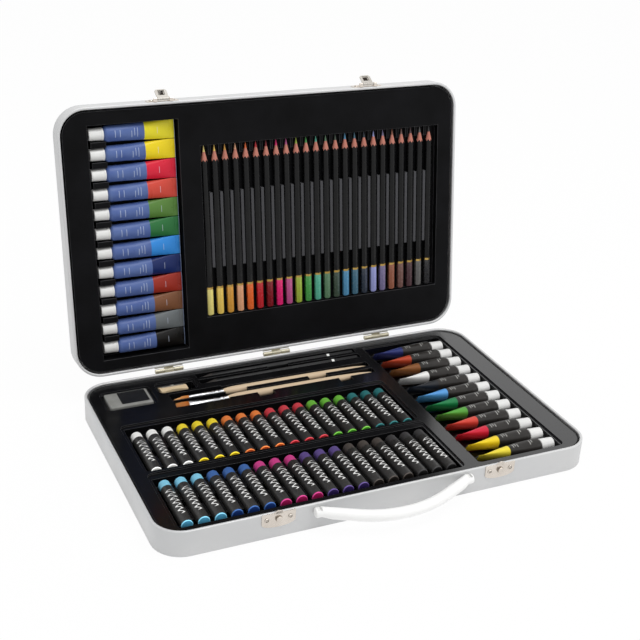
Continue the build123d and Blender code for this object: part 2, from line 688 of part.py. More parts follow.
def tube_set(x, middle_y, pitch, drop, turn):
    """Bodies and caps of one row of tubes."""
    body, cap = paint_tube()
    places = [Pos(x, middle_y + (i - (TUBE_COUNT - 1) / 2) * pitch, -drop - TUBE_R) * turn
              for i in range(TUBE_COUNT)]
    return [p * body for p in places], [p * cap for p in places]


def pencil(length, radius):
    """A sharpened hexagonal pencil with its point at X = 0 and its end at -X: casing and lead."""
    casing = bar([(-length, radius * 0.7), (-length + PENCIL_DOME, radius), (-PENCIL_CONE, radius),
                  (-PENCIL_LEAD, PENCIL_LEAD_R)], 6)
    lead = bar([(-PENCIL_LEAD, PENCIL_LEAD_R), (0, PENCIL_LEAD_TIP)], 6)
    return casing, lead


def lid_pencils():
    casing, lead = pencil(PENCIL_L, PENCIL_R)
    z = -PENCIL_DROP - PENCIL_R * math.cos(math.pi / 6)
    places = [Pos(pencil_x(i), PENCIL_Y, z) * Rot(Z=90) * Rot(X=30) for i in range(PENCIL_COUNT)]
    return [p * casing for p in places], [p * lead for p in places]


def sketch_pencil(y):
    """A thicker pencil that lies along X with its point to the left."""
    casing, lead = pencil(SKETCH_L, SKETCH_R)
    place = Pos(SKETCH_X - SKETCH_L, y, -SKETCH_DROP - SKETCH_R * math.cos(math.pi / 6)) * turned * Rot(X=30)
    return place * casing, place * lead


def eraser():
    body = Box(*ERASER)
    body = chamfer(body.edges(), ERASER_EDGE)
    return Pos(ERASER_X, ERASER_Y, -ERASER_DROP - ERASER[2] / 2) * body


def sharpener():
    """A wooden block with a sloped face, a tapered hole and a screwed blade."""
    length, width, height = SHARPENER
    profile = Polygon((-width / 2, -height), (width / 2, -height), (width / 2, -SHARPENER_SLOPE), (0, 0),
                      (-width / 2, 0), align=None)
    side = Plane((-length / 2, 0, 0), x_dir=(0, 1, 0), z_dir=(1, 0, 0))
    body = extrude(side * profile, length)
    hole = Pos(0, 0, -height / 2 - 0.5) * bar(
        [(length / 2 - SHARPENER_HOLE_L, SHARPENER_TIP_R), (length / 2, SHARPENER_HOLE_R)])
    tilt = math.degrees(math.atan2(SHARPENER_SLOPE, width / 2))
    face = Pos(0, width / 4, -SHARPENER_SLOPE / 2) * Rot(X=-tilt)
    blade = face * Pos(0, 0, BLADE[2] / 2) * Box(*BLADE)
    screw = face * Pos(0, 0, BLADE[2] + SCREW_H / 2) * Cylinder(SCREW_R, SCREW_H)
    place = Pos(SHARPENER_X, SHARPENER_Y, -SHARPENER_DROP)
    return place * (body - hole), place * blade, place * screw


def brush_handle(y):
    """A turned handle that swells behind the ferrule and tapers to its end."""
    length = BRUSH_END - BRUSH_FERRULE
    stations = ((BRUSH_FERRULE, BRUSH_NECK), (BRUSH_FERRULE + 0.06 * length, BRUSH_BELLY * 0.95),
                (BRUSH_FERRULE + 0.15 * length, BRUSH_BELLY), (BRUSH_FERRULE + 0.8 * length, BRUSH_BELLY * 0.9),
                (BRUSH_END, BRUSH_BELLY * 0.45))
    return Pos(0, y, -BRUSH_DROP) * bar(stations)


def ferrule(y, mouth_size):
    mouth = BRUSH_FERRULE - FERRULE_L
    return Pos(0, y, -BRUSH_DROP) * skin([oval(mouth, *mouth_size), oval(mouth + FERRULE_L / 2, FERRULE_W, FERRULE_W),
                                          oval(BRUSH_FERRULE, FERRULE_W, FERRULE_W)])


def strand(root, tip, radius):
    """One three-sided tapering strand from a root to its tip."""
    corners = [(root[0], root[1] + radius * math.cos(a), root[2] + radius * math.sin(a))
               for a in (0.0, 2 * math.pi / 3, 4 * math.pi / 3)]
    faces = [Face(Wire.make_polygon(corners))]
    for i in range(3):
        faces.append(Face(Wire.make_polygon([corners[i], corners[(i + 1) % 3], tip])))
    return Solid(Shell(faces))


def tuft(slice_shape, roots, gather, tip_reach):
    """A slice of the tuft's root with the strands that grow from it, drawn together at the tips."""
    mouth = BRUSH_FERRULE - FERRULE_L
    strands = []
    for y, z in roots:
        spread = math.hypot(y, z)
        tip = (mouth - BRISTLE_L + tip_reach * spread, y * gather, z * gather)
        strands.append(strand((mouth - BRISTLE_SLICE / 2, y, z), tip, BRISTLE_R))
    return slice_shape.fuse(*strands)


def round_bristles():
    mouth = BRUSH_FERRULE - FERRULE_L
    slice_shape = bar([(mouth - BRISTLE_SLICE, ROUND_TUFT_R + 0.3), (mouth, ROUND_TUFT_R + 0.3)])
    golden = math.pi * (3 - math.sqrt(5))
    roots = []
    for i in range(ROUND_BRISTLES):
        radius = ROUND_TUFT_R * math.sqrt((i + 0.5) / ROUND_BRISTLES)
        roots.append((radius * math.cos(i * golden), radius * math.sin(i * golden)))
    return Pos(0, ROUND_BRUSH_Y, -BRUSH_DROP) * tuft(slice_shape, roots, ROUND_GATHER, 1.6)


def flat_bristles():
    mouth = BRUSH_FERRULE - FERRULE_L
    across, deep = FLAT_TUFT
    slice_shape = skin([oval(x, across * 1.15, deep * 1.7) for x in (mouth - BRISTLE_SLICE, mouth)])
    roots = [(across * ((i + 0.5) / FLAT_BRISTLE_COLUMNS - 0.5) * 0.95, deep * ((j + 0.5) / FLAT_BRISTLE_ROWS - 0.5))
             for i in range(FLAT_BRISTLE_COLUMNS) for j in range(FLAT_BRISTLE_ROWS)]
    return Pos(0, FLAT_BRUSH_Y, -BRUSH_DROP) * tuft(slice_shape, roots, FLAT_GATHER, 0.1)


def save(name, place, shape):
    """Writes one sub-part, or a set of like solids, at its place."""
    solids = shape if isinstance(shape, list) else [shape]
    placed = [place * s for s in solids]
    whole = placed[0] if len(placed) == 1 else Compound(children=placed)
    export_step(whole, f"parts/{name}.step")


def main():
    save("base_shell", in_base, base_shell())
    save("base_tray", in_base, base_tray())
    save("base_hinge_leaves", in_base, hinge_leaf(base_spans(), False))
    save("hinge_pins", in_base, hinge_pins())
    save("keeper_plates", in_base, keeper_plates())
    save("handle_posts", Pos(0, 0, 0), handle_posts())
    save("handle_pins", Pos(0, 0, 0), handle_pins())
    save("handle", Pos(0, 0, 0), handle())

    save("lid_shell", in_lid, case_half(LID_H, LID_EDGE))
    save("lid_tray", in_lid, lid_tray())
    save("lid_hinge_leaves", in_lid * turned, hinge_leaf(lid_spans(), True))
    save("latch_plates", in_lid * turned, latch_plates())
    save("latch_pins", in_lid * turned, latch_pins())
    save("left_hasp", in_lid * turned, hasp(LATCH_X))
    save("right_hasp", in_lid * turned, hasp(-LATCH_X))

    for row_y, name in zip(PASTEL_ROWS, ("back", "front")):
        save(f"{name}_pastel_sticks", in_base, pastels(row_y))
        save(f"{name}_pastel_wraps", in_base, pastel_wraps(row_y))

    bodies, caps = tube_set(BASE_TUBE_X, BASE_TUBE_Y, BASE_TUBE_PITCH, BASE_TUBE_DROP, Rot(X=BASE_TUBE_ROLL))
    save("base_tube_bodies", in_base, bodies)
    save("base_tube_caps", in_base, caps)
    bodies, caps = tube_set(LID_TUBE_X, LID_TUBE_Y, LID_TUBE_PITCH, LID_TUBE_DROP, turned)
    save("lid_tube_bodies", in_lid, bodies)
    save("lid_tube_caps", in_lid, caps)

    casings, leads = lid_pencils()
    save("lid_pencil_casings", in_lid, casings)
    save("lid_pencil_leads", in_lid, leads)

    for y, name in ((REAR_PENCIL_Y, "rear"), (FRONT_PENCIL_Y, "front")):
        casing, lead = sketch_pencil(y)
        save(f"{name}_pencil_casing", in_base, casing)
        save(f"{name}_pencil_lead", in_base, lead)

    save("eraser", in_base, eraser())
    body, blade, screw = sharpener()
    save("sharpener_body", in_base, body)
    save("sharpener_blade", in_base, blade)
    save("sharpener_screw", in_base, screw)

    save("round_brush_handle", in_base, brush_handle(ROUND_BRUSH_Y))
    save("round_brush_ferrule", in_base, ferrule(ROUND_BRUSH_Y, ROUND_MOUTH))
    save("round_brush_bristles", in_base, round_bristles())
    save("flat_brush_handle", in_base, brush_handle(FLAT_BRUSH_Y))
    save("flat_brush_ferrule", in_base, ferrule(FLAT_BRUSH_Y, FLAT_MOUTH))
    save("flat_brush_bristles", in_base, flat_bristles())


main()
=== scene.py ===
# %% [markdown]
# # A metal case of paints, pencils, pastels and brushes
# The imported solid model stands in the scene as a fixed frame. Each of its pieces is either copied here with
# rounded edges, or drawn again at the same place and size. What is drawn again is in millimetres, in one of
# the two halves of the case, whose rim lies at height 0 with the inside below, and then carried into place.

import bmesh
import bpy
import math
import random
from mathutils import Matrix, Vector


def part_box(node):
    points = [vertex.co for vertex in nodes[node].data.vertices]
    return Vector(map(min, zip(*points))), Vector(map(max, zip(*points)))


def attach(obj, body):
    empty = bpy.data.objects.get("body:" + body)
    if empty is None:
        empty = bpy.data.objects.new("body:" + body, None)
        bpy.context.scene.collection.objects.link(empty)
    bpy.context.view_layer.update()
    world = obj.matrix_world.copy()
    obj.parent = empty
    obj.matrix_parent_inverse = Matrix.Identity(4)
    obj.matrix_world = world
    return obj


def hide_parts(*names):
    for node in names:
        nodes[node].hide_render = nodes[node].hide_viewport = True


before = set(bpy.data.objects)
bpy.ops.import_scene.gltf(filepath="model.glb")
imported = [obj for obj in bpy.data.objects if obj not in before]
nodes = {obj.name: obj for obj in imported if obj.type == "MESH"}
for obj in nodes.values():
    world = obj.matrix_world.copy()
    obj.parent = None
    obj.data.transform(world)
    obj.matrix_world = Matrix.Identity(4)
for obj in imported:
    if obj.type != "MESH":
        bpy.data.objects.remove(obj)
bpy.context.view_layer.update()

CASE_W = 434.0
CASE_D = 272.6
CORNER_R = 28.0
SHEET = 0.8
BASE_H = 26.2
LID_H = 20.5
RIM_GAP = 0.3
BEAD_W = 2.8
BEAD_H = 2.4
LID_OPEN = 98.0
HINGE_X = 120.5
HINGE_Y = CASE_D / 2 + 3.6
HINGE_Z = BASE_H + RIM_GAP / 2
LATCH_X = 111.0


def at(x, y, z):
    """A shift to a place."""
    return Matrix.Translation((x, y, z))


millimetres = Matrix.Scale(0.001, 4)
in_base = millimetres @ at(0, 0, BASE_H)
lid_turn = Matrix.Rotation(math.radians(180 - LID_OPEN), 4, "X")
in_lid = millimetres @ at(0, HINGE_Y, HINGE_Z) @ lid_turn @ at(0, HINGE_Y, -RIM_GAP / 2)
front_up = Matrix.Rotation(math.pi, 4, "Z")

# %% [markdown]
# ## Helpers for shapes
# Most pieces here are drawn the way a press or a lathe draws them: one flat outline is pulled on from
# station to station, and each pull leaves a wall behind. A face can be pulled with one operator, so the
# same short helper makes the case, the tubes, the pencils and the pastels. The open start is closed last.


# %% Pulling a face, and finishing a piece
across_x = Matrix.Rotation(math.pi / 2, 4, "Y")


def disc(bm, radius, sides, place=Matrix.Identity(4)):
    """A flat round face, which most shapes here start from."""
    verts = bmesh.ops.create_circle(bm, cap_ends=True, radius=radius, segments=sides, matrix=place)["verts"]
    return next(iter(verts[0].link_faces))


def pull(bm, face, way=Matrix.Identity(4)):
    """Pulls a face on by a matrix, leaving walls behind, and returns the face at its new place."""
    face = bmesh.ops.extrude_discrete_faces(bm, faces=[face])["faces"][0]
    bmesh.ops.transform(bm, matrix=way, verts=face.verts)
    return face


def close_up(bm):
    """Closes the open start of a pulled shape and turns its faces outwards."""
    bmesh.ops.holes_fill(bm, edges=bm.edges, sides=0)
    bmesh.ops.recalc_face_normals(bm, faces=bm.faces)
    return bm


def as_mesh(bm, place=Matrix.Identity(4)):
    """A mesh of a shape in its place, for use in a larger piece."""
    bmesh.ops.transform(bm, matrix=place, verts=bm.verts)
    mesh = bpy.data.meshes.new("shape")
    bm.to_mesh(mesh)
    bm.free()
    return mesh


def new_object(name, data):
    """An object in the scene."""
    made = bpy.data.objects.new(name, data)
    bpy.context.scene.collection.objects.link(made)
    return made


def piece(name, body, meshes, finishes, crease=35):
    """Joins meshes into one named piece that rides on a body, with creases where it bends sharply."""
    bm = bmesh.new()
    for mesh in meshes:
        bm.from_mesh(mesh)
        bpy.data.meshes.remove(mesh)
    for face in bm.faces:
        face.smooth = True
    for edge in bm.edges:
        edge.smooth = edge.calc_face_angle(math.pi) < math.radians(crease)
    joined = bpy.data.meshes.new(name)
    bm.to_mesh(joined)
    bm.free()
    for finish in finishes:
        joined.materials.append(finish)
    made = new_object(name, joined)
    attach(made, body)
    print(name, len(joined.polygons), "faces")
    return made


def stand_in(node, slot, *drawn):
    """A piece that takes the place of a solid. The paint slot it is given is not used."""
    made = piece(*drawn)
    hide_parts(node)
    return made

# %% [markdown]
# ## Helpers for finishes
# Each finish is a small node tree. Noise on object coordinates gives unevenness, and shared groups hold the
# effects that several finishes use: mottling of a value, a fine skin for the light to catch, and worn edges.


# %% Colours, nodes and the shared groups
def paint(code):
    """The linear colour of a hex code."""
    values = [int(code[i:i + 2], 16) / 255 for i in (1, 3, 5)]
    return tuple(v / 12.92 if v <= 0.04045 else ((v + 0.055) / 1.055) ** 2.4 for v in values) + (1.0,)


def add_node(tree, kind, inputs=None, **settings):
    """A node with its settings and input values. An input that is a socket is linked."""
    new = tree.nodes.new(kind)
    for key, value in settings.items():
        setattr(new, key, value)
    for key, value in (inputs or {}).items():
        if isinstance(value, bpy.types.NodeSocket):
            tree.links.new(value, new.inputs[key])
        else:
            new.inputs[key].default_value = value
    return new


def arithmetic(tree, operation, *values):
    """The result of a calculation on numbers and sockets."""
    return add_node(tree, "ShaderNodeMath", dict(enumerate(values)), operation=operation).outputs[0]


def span(tree, value, low, high, first=0.0, last=1.0):
    """A value carried from one range to another, and held at its ends."""
    new = add_node(tree, "ShaderNodeMapRange", {"Value": value, "From Min": low, "From Max": high,
                                                "To Min": first, "To Max": last})
    return new.outputs["Result"]


def object_noise(tree, scale, detail):
    """Noise on object coordinates."""
    where = add_node(tree, "ShaderNodeTexCoord")
    noise = add_node(tree, "ShaderNodeTexNoise", {"Vector": where.outputs["Object"], "Scale": scale,
                                                  "Detail": detail})
    return noise.outputs["Fac"]


def new_group(name, inputs, outputs):
    """An empty node group with number inputs and given outputs."""
    tree = bpy.data.node_groups.new(name, "ShaderNodeTree")
    for key, value in inputs.items():
        tree.interface.new_socket(key, in_out="INPUT", socket_type="NodeSocketFloat").default_value = value
    for key, kind in outputs.items():
        tree.interface.new_socket(key, in_out="OUTPUT", socket_type=kind)
    return tree, tree.nodes.new("NodeGroupInput"), tree.nodes.new("NodeGroupOutput")


def mottling():
    """Uneven value between a low and a high, as fingerprints and dust leave it."""
    tree, given, result = new_group("Mottling", {"Scale": 60.0, "Low": 0.3, "High": 0.5},
                                    {"Value": "NodeSocketFloat"})
    noise = object_noise(tree, given.outputs["Scale"], 5.0)
    spread = span(tree, noise, 0.3, 0.7, given.outputs["Low"], given.outputs["High"])
    tree.links.new(spread, result.inputs["Value"])
    return tree


def fine_skin():
    """A fine bump for paint, plastic and paper."""
    tree, given, result = new_group("Fine skin", {"Scale": 900.0, "Strength": 0.1},
                                    {"Normal": "NodeSocketVector"})
    noise = object_noise(tree, given.outputs["Scale"], 3.0)
    bump = add_node(tree, "ShaderNodeBump", {"Height": noise, "Distance": 0.0003,
                                             "Strength": given.outputs["Strength"]})
    tree.links.new(bump.outputs["Normal"], result.inputs["Normal"])
    return tree


def worn_edge():
    """A mask that is strong on outer edges and broken up by noise."""
    tree, given, result = new_group("Worn edge", {"Pointiness": 0.5, "Start": 0.52, "Scale": 250.0},
                                    {"Mask": "NodeSocketFloat"})
    noise = object_noise(tree, given.outputs["Scale"], 6.0)
    full = arithmetic(tree, "ADD", given.outputs["Start"], 0.06)
    edge = span(tree, given.outputs["Pointiness"], given.outputs["Start"], full)
    tree.links.new(arithmetic(tree, "MULTIPLY", edge, noise), result.inputs["Mask"])
    return tree


MOTTLING = mottling()
FINE_SKIN = fine_skin()
WORN_EDGE = worn_edge()
WORN_FROM = 0.54
SOFT = 0.0001
FIN_SHEEN_SOFT = 0.0006
GRIME = (0.02, 0.02, 0.02, 1)


def new_finish(name, **values):
    """A material with the values that are the same all over it, and its node tree."""
    finish = bpy.data.materials.new(name)
    finish.use_nodes = True
    shader = finish.node_tree.nodes["Principled BSDF"]
    for key, value in values.items():
        shader.inputs[key.replace("_", " ")].default_value = value
    return finish, finish.node_tree


def shared(tree, group, **inputs):
    """What a shared group makes of its inputs."""
    return add_node(tree, "ShaderNodeGroup", inputs, node_tree=group).outputs[0]


def mottle(tree, scale, low=0.0, high=1.0):
    """An uneven value between two limits."""
    return shared(tree, MOTTLING, Scale=scale, Low=low, High=high)


def blend(tree, factor, first, second, mode="MIX"):
    """The colour that goes from first to second by a factor."""
    inputs = {0: factor, 6: first, 7: second}
    return add_node(tree, "ShaderNodeMix", inputs, data_type="RGBA", blend_type=mode).outputs[2]


def two_tone(tree, scale, light, dark):
    """A colour that wanders between two."""
    return blend(tree, mottle(tree, scale), paint(light), paint(dark))


def complete(finish, **sockets):
    """Links what varies over a finish to its shader."""
    tree = finish.node_tree
    for key, socket in sockets.items():
        tree.links.new(socket, tree.nodes["Principled BSDF"].inputs[key.replace("_", " ")])
    return finish


def coat(finish, colour, roughness, bump):
    """Completes a finish. The roughness is a scale and two limits, the bump a scale and a strength."""
    tree = finish.node_tree
    scale, strength = bump
    fine_bump = shared(tree, FINE_SKIN, Scale=scale, Strength=strength)
    return complete(finish, Base_Color=colour, Roughness=mottle(tree, *roughness), Normal=fine_bump)


def even_finish(name, light, dark, tone_scale, roughness, bump, **values):
    """A finish that wanders between two colours."""
    finish, tree = new_finish(name, **values)
    return coat(finish, two_tone(tree, tone_scale, light, dark), roughness, bump)


def measure(tree, direction, origin=0.0):
    """How far a point lies along a direction, in metres from an origin."""
    where = add_node(tree, "ShaderNodeTexCoord")
    dot = add_node(tree, "ShaderNodeVectorMath", {0: where.outputs["Object"], 1: direction},
                   operation="DOT_PRODUCT")
    return arithmetic(tree, "SUBTRACT", dot.outputs["Value"], origin)


def between(tree, value, low, high, soft=0.0002):
    """A mask that is 1 where a value lies between two limits."""
    rise = span(tree, value, low - soft, low + soft)
    fall = span(tree, value, high - soft, high + soft, 1.0, 0.0)
    return arithmetic(tree, "MULTIPLY", rise, fall)


def within_pitch(tree, value, first, pitch):
    """How far a point lies from the middle of its own place in a row, in metres."""
    return arithmetic(tree, "WRAP", arithmetic(tree, "SUBTRACT", value, first), pitch / 2, -pitch / 2)


def stroke(tree, along, across, along_range, across_range):
    """A mask that is 1 inside a small rectangle, whose limits are millimetres."""
    masks = [between(tree, value, low / 1000, high / 1000, SOFT)
             for value, (low, high) in ((along, along_range), (across, across_range))]
    return arithmetic(tree, "MULTIPLY", *masks)


def edge_mask(tree):
    """The worn-edge mask of the shared group."""
    pointiness = add_node(tree, "ShaderNodeNewGeometry").outputs["Pointiness"]
    return shared(tree, WORN_EDGE, Pointiness=pointiness, Start=WORN_FROM)


def in_order(tree, value, first, pitch, codes, gain=1.0):
    """One colour after another along a value, each as wide as a pitch and the first centred on a place."""
    count = len(codes)
    share = span(tree, value, first - pitch / 2, first + (count - 0.5) * pitch)
    ramp = add_node(tree, "ShaderNodeValToRGB", {"Fac": share})
    stops = ramp.color_ramp.elements
    ramp.color_ramp.interpolation = "CONSTANT"
    while len(stops) < count:
        stops.new(0.99)
    for index, code in enumerate(codes):
        stops[index].position = index / count
        stops[index].color = tuple(min(1.0, v * gain) for v in paint(code))
    return ramp.outputs["Color"]


print("groups:", [group.name for group in bpy.data.node_groups])

# %% [markdown]
# ## Camera, floor and light
# The camera stands to the left of the case and looks down on it through a long lens. A white surround lights
# the case evenly, and two soft lamps, overhead and in front on the right, give the walls their different
# greys. The floor keeps a soft shadow.

# %% The camera
CAMERA_AT = Vector((-0.44985, -0.91339, 0.61572))
AZIMUTH = math.radians(-25.39)
ELEVATION = math.radians(25.60)
ROLL = math.radians(2.84)
LENS = 67.06
back = Vector((math.sin(AZIMUTH) * math.cos(ELEVATION), -math.cos(AZIMUTH) * math.cos(ELEVATION),
               math.sin(ELEVATION)))
right = (-back).cross(Vector((0, 0, 1))).normalized()
up = right.cross(-back)
rolled_right = math.cos(ROLL) * right + math.sin(ROLL) * up
rolled_up = -math.sin(ROLL) * right + math.cos(ROLL) * up
camera_data = bpy.data.cameras.new("camera")
camera_data.lens = LENS
camera_data.sensor_width = 36.0
camera = new_object("camera", camera_data)
axes = Matrix((rolled_right, rolled_up, back)).transposed().to_4x4()
camera.matrix_world = Matrix.Translation(CAMERA_AT) @ axes
bpy.context.scene.camera = camera
bpy.context.scene.view_settings.view_transform = "Standard"
print("camera at", tuple(round(v, 3) for v in CAMERA_AT))

# %% The floor
FLOOR_SIZE = 6.0
GLOW_SHARE = 0.96
bm = bmesh.new()
bmesh.ops.create_grid(bm, x_segments=1, y_segments=1, size=FLOOR_SIZE)
floor = new_object("floor", as_mesh(bm))


def seen_directly(tree):
    """A mask that is 1 for what the camera sees, also in gloss and through glass."""
    path = add_node(tree, "ShaderNodeLightPath")
    seen = arithmetic(tree, "MAXIMUM", path.outputs["Is Camera Ray"], path.outputs["Is Glossy Ray"])
    return arithmetic(tree, "MAXIMUM", seen, path.outputs["Is Transmission Ray"])


floor_finish = bpy.data.materials.new("floor white")
floor_finish.use_nodes = True
tree = floor_finish.node_tree
tree.nodes.clear()
output = add_node(tree, "ShaderNodeOutputMaterial")
matt = add_node(tree, "ShaderNodeBsdfDiffuse", {"Color": (0.93, 0.93, 0.93, 1)})
glow = add_node(tree, "ShaderNodeEmission", {"Color": (1, 1, 1, 1), "Strength": 1.0})
share = arithmetic(tree, "MULTIPLY", seen_directly(tree), GLOW_SHARE)
mixed = add_node(tree, "ShaderNodeMixShader", {0: share, 1: matt.outputs[0], 2: glow.outputs[0]})
tree.links.new(mixed.outputs[0], output.inputs["Surface"])
floor.data.materials.append(floor_finish)
print("floor", FLOOR_SIZE, "m")

# %% The surround and the lamps
SURROUND_LEVEL = 0.62
world = bpy.data.worlds.new("studio")
bpy.context.scene.world = world
world.use_nodes = True
tree = world.node_tree
surround = tree.nodes["Background"]
surround.inputs["Color"].default_value = (1, 1, 1, 1)
level = span(tree, seen_directly(tree), 0.0, 1.0, SURROUND_LEVEL, 1.0)
tree.links.new(level, surround.inputs["Strength"])


def lamp(name, place, target, size, power):
    """A square soft lamp that points at a target."""
    data = bpy.data.lights.new(name, "AREA")
    data.shape = "SQUARE"
    data.size = size
    data.energy = power
    aim = (Vector(target) - Vector(place)).to_track_quat("-Z", "Y")
    new_object(name, data).matrix_world = Matrix.Translation(place) @ aim.to_matrix().to_4x4()


lamp("overhead", (0.3, -0.4, 2.0), (0, 0, 0), 1.2, 20.0)
lamp("right front", (1.4, -1.2, 0.9), (0, 0, 0.05), 0.8, 3.0)
print("lamps:", [light.name for light in bpy.data.lights])

# %% [markdown]
# ## The finishes of the case
# The case is pressed steel with a pale silver paint, so it is smooth, a little uneven in gloss, and a little
# brighter where the rolled rim rubs. The trays are glossy black sheet, formed hot, with a faint ripple.


# %% Silver paint
def silver_paint():
    finish, tree = new_finish("silver paint", Metallic=0.25, IOR=1.45)
    colour = two_tone(tree, 14.0, "#cdcecf", "#d3d3d3")
    colour = blend(tree, edge_mask(tree), colour, paint("#e2e2df"))
    return coat(finish, colour, (45.0, 0.34, 0.46), (2600.0, 0.05))


SILVER_PAINT = silver_paint()


# %% Black formed sheet
def black_sheet(name, specular, low, high, ripple, fins=None, glossy_right=False):
    """Black sheet. It can be glossier towards the right, and the fins between the pencils get a grey painted
    sheen.
    """
    finish, tree = new_finish(name, IOR=1.5, Specular_IOR_Level=specular)
    if glossy_right:
        gloss = span(tree, measure(tree, (1, 0, 0)), GLOSS_FROM, GLOSS_TO)
        complete(finish, Coat_Weight=gloss)
        tree.nodes["Principled BSDF"].inputs["Coat Roughness"].default_value = (low + high) / 2
    colour = two_tone(tree, 30.0, "#0d0d0e", "#141416")
    if fins:
        masks = [between(tree, measure(tree, way), first, last, FIN_SHEEN_SOFT) for way, first, last in fins]
        inside = arithmetic(tree, "MULTIPLY", arithmetic(tree, "MULTIPLY", *masks[:2]), masks[2])
        # Painted sheen: the fins are the same black sheet, coloured grey where they catch the light.
        colour = blend(tree, inside, colour, paint("#505053"))
    return coat(finish, colour, (55.0, low, high), (160.0, ripple))


def sheet_edge_highlight(name, light, dark):
    """The same sheet on its rounded edges, smoother and paler: the paler colour is a painted highlight."""
    return even_finish(name, light, dark, 70.0, (90.0, 0.25, 0.4), (300.0, 0.05), IOR=1.5,
                       Specular_IOR_Level=0.3)


lid_up = (in_lid.to_3x3() @ Vector((0, 1, 0))).normalized()
lid_out = (in_lid.to_3x3() @ Vector((0, 0, 1))).normalized()


def lid_span(way, low, high):
    """A direction of the lid with two limits on it, in metres, from two points in the lid's millimetres."""
    return way, (in_lid @ Vector(low)).dot(way), (in_lid @ Vector(high)).dot(way)


# Where the painted sheen on the lid's fins lies, as three directions with two limits each.
FIN_SHEEN_SPANS = (((1, 0, 0), -0.073, 0.19), lid_span(lid_up, (0, -37.9, -6), (0, 41.2, -6)),
             lid_span(lid_out, (0, 0, -8.8), (0, 0, -3.5)))
GLOSS_FROM = 0.045
GLOSS_TO = 0.078
BASE_SHEET = black_sheet("black sheet of the base", 0.1, 0.14, 0.22, 0.02, glossy_right=True)
LID_SHEET = black_sheet("black sheet of the lid", 0.05, 0.3, 0.44, 0.03, FIN_SHEEN_SPANS)
BASE_EDGE_HIGHLIGHT = sheet_edge_highlight("painted highlight on the base's sheet edges", "#49494b", "#363638")
LID_EDGE_HIGHLIGHT = sheet_edge_highlight("painted highlight on the lid's sheet edges", "#505053", "#3a3a3c")
print("case finishes ready")

# %% [markdown]
# ## The two halves of the case
# Each half is drawn from one flat sheet. A grid of one face gets rounded corners from a bevel of its corner
# points, and the outline is then pulled up the wall and rolled over into the rim. Each ring of points keeps
# its distance to the outside of the case, so a station is only a distance inwards and a height.


# %% Pressing a rounded outline through stations
CORNER_STEPS = 10
CASE_CREASE = 50


def rounded_sheet(bm, width, depth, radius, steps=CORNER_STEPS):
    """A flat face with rounded corners at height 0."""
    corners = bmesh.ops.create_grid(bm, x_segments=1, y_segments=1, size=0.5)["verts"]
    bmesh.ops.scale(bm, vec=(width, depth, 1), verts=corners)
    bmesh.ops.bevel(bm, geom=corners, affect="VERTICES", offset=radius, segments=steps, profile=0.5,
                    material=-1)
    bm.faces.ensure_lookup_table()
    return bm.faces[0]


def move_ring(face, width, depth, radius, inward, height):
    """Puts a rounded outline a distance inside the first outline, at a height."""
    reach = Vector((width / 2 - radius, depth / 2 - radius))
    for vert in face.verts:
        core = Vector((max(-reach.x, min(reach.x, vert.co.x)), max(-reach.y, min(reach.y, vert.co.y))))
        away = (vert.co.xy - core).normalized()
        vert.co.xy = core + away * (radius - inward)
        vert.co.z = height


def press(bm, face, size, stations):
    """Pulls a rounded outline through stations, each a distance inwards and a height."""
    move_ring(face, *size, *stations[0])
    for station in stations[1:]:
        face = pull(bm, face)
        move_ring(face, *size, *station)


def case_half(height, edge):
    """Floor, wall and rolled rim of one half, as stations from the outside round to the inside."""
    outside = [(12.0, -height), (edge, -height), (edge * 0.5, -height + edge * 0.13),
               (edge * 0.13, -height + edge * 0.5), (0, -height + edge), (0, -BEAD_H - 0.4), (0, -0.95)]
    rim = [(0.14, -0.45), (0.45, -0.14), (0.95, 0), (1.85, 0), (2.35, -0.14), (2.66, -0.45), (BEAD_W, -0.95),
           (BEAD_W, -BEAD_H + 0.4), (2.4, -BEAD_H), (SHEET, -BEAD_H)]
    inside = [(SHEET, -height + SHEET + edge), (edge, -height + SHEET), (12.0, -height + SHEET)]
    bm = bmesh.new()
    size = (CASE_W, CASE_D, CORNER_R)
    press(bm, rounded_sheet(bm, *size), size, outside + rim + inside)
    return close_up(bm)


for node, body, height, edge, place in (("base_shell", "base", BASE_H, 1.4, in_base),
                                        ("lid_shell", "lid", LID_H, 1.7, in_lid)):
    stand_in(node, "case_paint", body + "_case", body, [as_mesh(case_half(height, edge), place)],
             [SILVER_PAINT], CASE_CREASE)

# %% [markdown]
# ## The formed trays, hinges and latches
# Their solids already have the right shape but knife-sharp edges, and real formed sheet and stamped metal
# catch the light along a small round. So a copy of each solid's mesh is merged, its flat areas are joined
# again, and its sharp edges are bevelled.


# %% Rounding the edges of a solid's copy
WELD = 1e-6
FLAT = math.radians(0.5)
SHARP = math.radians(20)
ROUND_STEPS = 2
TRAY_ROUND = 0.5


def softened(node, width, edge_slot=-1):
    """The mesh of a solid with small rounds on its sharp edges, which may take a finish of their own."""
    bm = bmesh.new()
    bm.from_mesh(nodes[node].data)
    bmesh.ops.remove_doubles(bm, verts=bm.verts, dist=WELD)
    bmesh.ops.dissolve_limit(bm, angle_limit=FLAT, verts=bm.verts, edges=bm.edges)
    edges = [e for e in bm.edges if e.is_manifold and e.calc_face_angle() > SHARP]
    bmesh.ops.bevel(bm, geom=edges, affect="EDGES", offset=width * 0.001, segments=ROUND_STEPS, profile=0.5,
                    material=edge_slot, clamp_overlap=True)
    return as_mesh(bm)


def dressed(node, body, slot, width, *finishes):
    """A solid's copy with rounded edges, in place of the solid. A second finish goes on the edges; on the
    trays it is a painted highlight.
    """
    copy = softened(node, width, 1 if len(finishes) > 1 else -1)
    made = stand_in(node, slot, node + "_finished", body, [copy], finishes, CASE_CREASE)
    made.modifiers.new("flat faces stay flat", "WEIGHTED_NORMAL").keep_sharp = True
    return made


